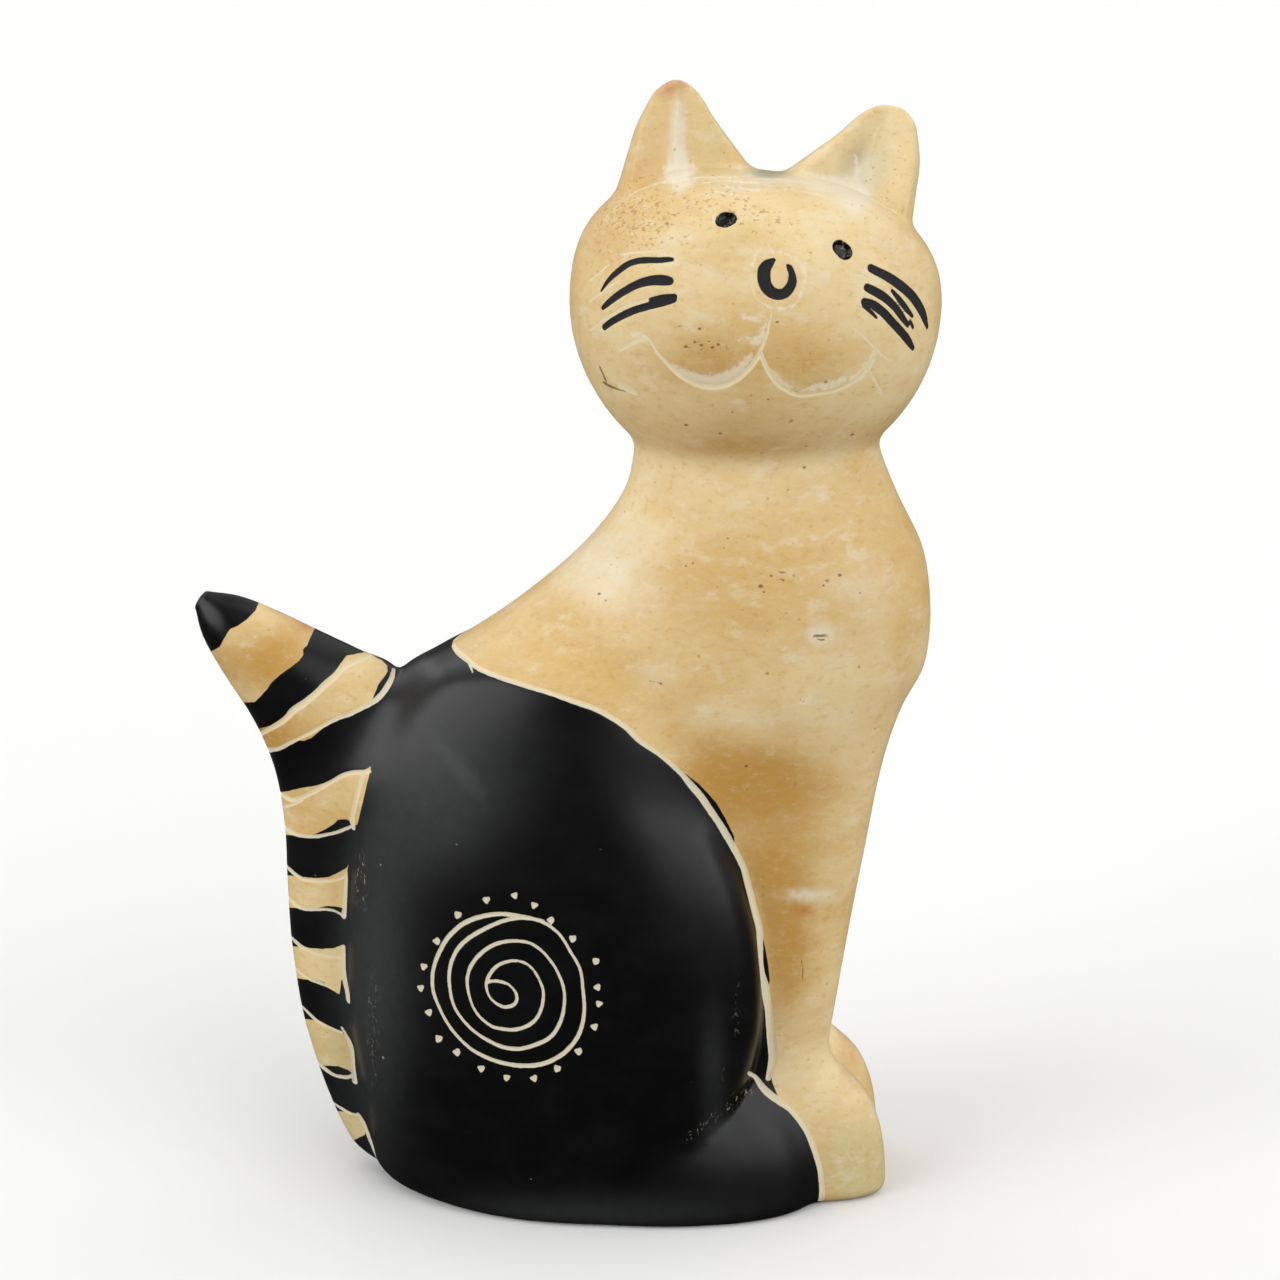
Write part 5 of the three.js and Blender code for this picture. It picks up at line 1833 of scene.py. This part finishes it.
@dataclass(frozen=True)
class SoapstoneFinish:
    """Waxed, dyed soapstone: warm and cloudy where bare, satin black where dyed, chalky where
    scratched."""

    honey: tuple = tone(199, 166, 108)
    cream: tuple = tone(215, 194, 148)
    ochre_and_painted_shade: tuple = tone(174, 129, 52)
    umber: tuple = tone(148, 100, 46)
    bark: tuple = tone(92, 62, 34)
    grey_brown: tuple = tone(138, 130, 113)
    rust: tuple = tone(172, 104, 48)
    moss: tuple = tone(190, 180, 134)
    chalk: tuple = tone(216, 208, 186)
    powder: tuple = tone(221, 216, 201)
    scratch: tuple = tone(196, 191, 172)
    warm_scratch: tuple = tone(212, 198, 165)
    black: tuple = tone(4, 4, 4)
    charcoal: tuple = tone(17, 17, 19)
    slate: tuple = tone(55, 57, 57)
    ink: tuple = tone(30, 29, 31)
    tar: tuple = tone(9, 10, 9)
    specular: float = 0.25
    bump: float = 0.000012  # metres
    pit_bump: float = 4.0

    def stone(self, bench: Bench) -> Wire:
        """Colours the bare stone: slow clouds of honey and cream, soft tints, then mottling and
        specks at smaller and smaller sizes. The ochre tint is partly painted shade: under the
        chin and the mouth, down the chest's right edge and on the lower chest.

        Args:
            bench: the material's nodes.

        Returns:
            The colour.
        """
        slow = bench.noise(26, (1, 1, 1.7), detail=3.0)
        middling = bench.noise(5.5, (1, 1, 1.5), detail=4.0, rough=0.6)
        mottled = bench.noise(1.5, (1, 1, 1.6), detail=4.0, rough=0.75)
        brushed = bench.noise(0.4, (0.35, 0.6, 1.7), detail=3.0, rough=0.6)
        # Ochre, partly painted shade under the chin and the mouth and on the lower chest.
        ochre_and_painted_shade = bench.kept(Tint.OCHRE_AND_SHADE) + (slow - 0.6) * 0.3
        veins = bench.noise(3.4, (0.7, 0.7, 1.4), detail=5.0, rough=0.7) - ochre_and_painted_shade * 0.12
        moss = bench.kept(Tint.MOSS) * (0.6 + 0.8 * middling)
        rust = bench.kept(Tint.RUST) * (0.4 + 1.2 * middling)
        chalk = bench.kept(Tint.CHALK) * (0.4 + 1.2 * bench.noise(2.2, detail=4.0, rough=0.7))
        grey_brown = bench.kept(Tint.SMOKE) * (0.5 + bench.noise(1.8, detail=4.0, rough=0.7))
        freckled = bench.kept(Tint.FRECKLE)
        flecks = bench.noise(0.6, (1, 1, 1.4), detail=3.0, rough=0.6) + freckled * 0.19
        crowd = bench.noise(7.0, (1, 1, 1.5))
        layers = (
            (slow, (0.35, 0.68), 1.0, self.honey),
            (middling, (0.35, 0.75), 0.35, self.honey),
            (ochre_and_painted_shade * (0.75 + 0.5 * middling), (-0.1, 1.0), 0.9, self.ochre_and_painted_shade),
            (moss, (0.1, 1.0), 0.75, self.moss),
            (rust, (0.1, 1.0), 0.7, self.rust),
            (mottled, (0.5, 0.78), 0.45, self.ochre_and_painted_shade),
            (0.5 - mottled, (0.0, 0.26), 0.22, self.chalk),
            (chalk, (0.15, 0.95), 0.75, self.chalk),
            (brushed, (0.58, 0.8), 0.14, self.chalk),
            (veins, (0.5, 0.72), 0.42, self.chalk),
            (grey_brown, (0.1, 1.0), 0.7, self.grey_brown),
            (flecks, (0.7, 0.77), 0.5, self.umber),
        )
        specks = (
            (0.8, 0.28, crowd * 0.5 + freckled * 0.3 - 0.2, 0.4, self.umber),
            (2.4, 0.11, crowd * 0.4 + freckled * 0.25 - 0.1, 0.65, self.umber),
            (6.5, 0.05, 0.2, 0.8, self.bark),
        )
        return bench.speckled(bench.layered(self.cream, layers), specks)

    def dyed(self, bench: Bench) -> Wire:
        """Colours the dyed stone: black with a faint cloudiness, a painted sheen with films of wax,
        pale scuffs that are partly a painted highlight on the hind foot's crest, and dry specks.

        Args:
            bench: the material's nodes.

        Returns:
            The colour.
        """
        middling = bench.noise(6.5, (1, 1, 1.5), detail=4.0, rough=0.6)
        # Painted sheen: grey laid over the black as a painted reflection of the lamps, with a
        # little real wax film.
        painted_sheen_and_film = bench.kept(Tint.SHEEN_AND_FILM) * (0.7 + 0.6 * bench.noise(1.6, detail=4.0, rough=0.7))
        layers = (
            (middling, (0.35, 0.8), 0.6, self.charcoal),
            (painted_sheen_and_film, (0.0, 1.0), 0.85, self.slate),
        )
        # Pale scuffs, on the hind foot's crest partly a painted highlight.
        ragged_grain = bench.noise(0.5, (1, 1, 0.5), detail=3.0, rough=0.8).rising(0.58, 0.66)
        scuffed_and_highlit = bench.kept(Tint.SCUFF_AND_HIGHLIGHT).rising(0.1, 1.0) * ragged_grain
        made = bench.mixed(scuffed_and_highlit * 0.6, bench.layered(self.black, layers), self.chalk)
        return bench.speckled(made, ((5.0, 0.045, 0.4, 0.5, self.chalk),))

    def material(self, name: str) -> bpy.types.Material:
        """Builds the material.

        Args:
            name: the material's name.

        Returns:
            The material.
        """
        bench = Bench(name)
        grain = bench.noise(0.35, detail=3.0, rough=0.65)
        powder = bench.noise(0.7, detail=4.0, rough=0.75)
        ragged = (bench.noise(0.8, detail=3.0, rough=0.6) - 0.5) * 0.16
        dyed = (bench.kept(DYE) + ragged).rising(-0.05, 0.05)
        scratched = (bench.kept(Mark.SCRATCH) + ragged + 0.03).rising(-0.06, 0.06)
        inked = (bench.kept(Mark.INK) + ragged * 0.6 + 0.02).rising(-0.05, 0.05)
        pitted = (bench.kept(Mark.PIT) + ragged * 0.8).rising(-0.05, 0.05)
        worn = (bench.kept(Mark.WORN) + (powder - 0.5) * 2.3).rising(-0.15, 0.45)
        cracked = (bench.kept(Mark.CRACK) + ragged * 1.6).rising(-0.08, 0.04)

        fresh = bench.mixed(dyed, self.warm_scratch, self.scratch)
        colour = bench.mixed(dyed, self.stone(bench), self.dyed(bench))
        for share, over in (
            (worn * 0.52, self.powder),
            (cracked * (0.35 + grain * 0.8), self.bark),
            (scratched, bench.mixed(grain.rising(0.35, 0.7) * 0.35, fresh, self.cream)),
            (inked, bench.mixed(grain.rising(0.5, 0.8) * 0.3, self.ink, self.slate)),
            (pitted, bench.mixed(powder.rising(0.52, 0.66) * 0.35, self.tar, self.moss)),
        ):
            colour = bench.mixed(share, colour, over)

        gloss = 0.42 + (grain - 0.5) * 0.12 + worn * 0.3
        satin = 0.3 + (grain - 0.5) * 0.1 + bench.kept(Tint.SHEEN_AND_FILM) * 0.12
        rough = gloss * (1 - dyed) + satin * dyed
        dry = scratched.or_more(inked)
        rough = rough * (1 - dry) + dry * 0.8
        rough = rough * (1 - pitted) + pitted * 0.25
        carving = bench.noise(1.7, (0.5, 1, 2), detail=3.0)
        height = grain * 0.35 + carving * 0.5 + (scratched + worn) * grain
        height = height + pitted * powder * self.pit_bump
        relief = {"Strength": 1.0, "Distance": self.bump, "Height": height}
        return bench.finished(
            {
                "Base Color": colour,
                "Roughness": rough,
                "Specular IOR Level": self.specular,
                "Normal": bench.node("ShaderNodeBump", {}, relief, "Normal"),
            }
        )


# The room


@dataclass(frozen=True)
class Lamp:
    """A broad, far lamp: the way towards it, in degrees round from the camera's side to the right
    and up from the floor, how wide it looks in degrees, and its strength."""

    name: str
    round: float
    up: float
    wide: float
    strength: float


@dataclass(frozen=True)
class Studio:
    """The plain pale floor, the soft lights and the camera."""

    floor_half: float = 8.0
    floor_colour: tuple = tone(229, 229, 228)
    floor_bounce: tuple = tone(165, 162, 156)
    floor_reflected: tuple = tone(60, 60, 60)
    glow: float = 0.03
    lamps: tuple[Lamp, ...] = (
        Lamp("left", -60, 20, 52, 2.15),
        Lamp("right", 44, 15, 68, 2.15),
        Lamp("far_left", -110, 35, 90, 1.4),
        Lamp("far_right", 100, 30, 90, 1.1),
        Lamp("front_top", 50, 50, 90, 0.66),
        Lamp("back_top", 175, 62, 90, 0.8),
    )
    sheet: Sheet = Sheet()
    lens: float = 85.0
    sensor: float = 36.0
    clipped: Pair = (0.01, 50.0)  # metres, the nearest and the farthest in view

    def floor(self) -> bpy.types.Object:
        """Makes the floor: one flat square under the cat. It is pale where it is seen, and darker
        where it lights the cat from below or shows in its polish, as under dark studio cloths.

        Returns:
            The floor's object.
        """
        corners = np.array([(-1, -1), (1, -1), (1, 1), (-1, 1)]) * self.floor_half
        mesh = bpy.data.meshes.new("floor")
        mesh.from_pydata([(x, y, 0.0) for x, y in corners], [], [(0, 1, 2, 3)])
        bench = Bench("floor_paper")
        seen = bench.node("ShaderNodeLightPath", out="Is Camera Ray")
        shown = bench.node("ShaderNodeLightPath", out="Is Glossy Ray")
        colour = bench.mixed(shown, self.floor_bounce, self.floor_reflected)
        colour = bench.mixed(seen, colour, self.floor_colour)
        finish = {"Base Color": colour, "Roughness": 0.9, "Specular IOR Level": 0.1}
        mesh.materials.append(bench.finished(finish))
        return put_up("floor", mesh)

    def light(self) -> None:
        """Sets the room's even glow and puts up the lamps."""
        scene = bpy.context.scene
        scene.view_settings.view_transform = "Standard"
        world = bpy.data.worlds.new("room")
        world.use_nodes = True
        glow = world.node_tree.nodes["Background"]
        glow.inputs["Color"].default_value = (1, 1, 1, 1)
        glow.inputs["Strength"].default_value = self.glow
        scene.world = world
        for lamp in self.lamps:
            data = bpy.data.lights.new(lamp.name, "SUN")
            data.angle = math.radians(lamp.wide)
            data.energy = lamp.strength
            made = put_up(lamp.name, data)
            made.rotation_euler = (math.radians(90 - lamp.up), 0, math.radians(lamp.round))

    def camera(self) -> bpy.types.Object:
        """Places the camera at the sheet's eye, square to the sheet, and makes it the scene's.

        Returns:
            The camera's object.
        """
        data = bpy.data.cameras.new("camera")
        data.lens, data.sensor_width = self.lens, self.sensor
        data.clip_start, data.clip_end = self.clipped
        made = put_up("camera", data)
        turn = np.eye(4)
        turn[:3, :3] = self.sheet.axes().T
        turn[:3, 3] = (self.sheet.eye() + [MIDDLE_SHIFT, 0, 0]) * MM
        made.matrix_world = Matrix(turn.tolist())
        bpy.context.scene.camera = made
        return made


def main() -> None:
    """Builds the cat and the studio round it."""
    logging.basicConfig(level=logging.INFO, format="%(message)s")
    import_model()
    studio = Studio()
    studio.camera()
    cat = CatFigurine().piece()
    cat.data.materials.append(SoapstoneFinish().material("dyed_soapstone"))
    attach(cat, "root")
    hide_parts(NODE)
    studio.floor()
    studio.light()


if __name__ == "__main__":
    main()
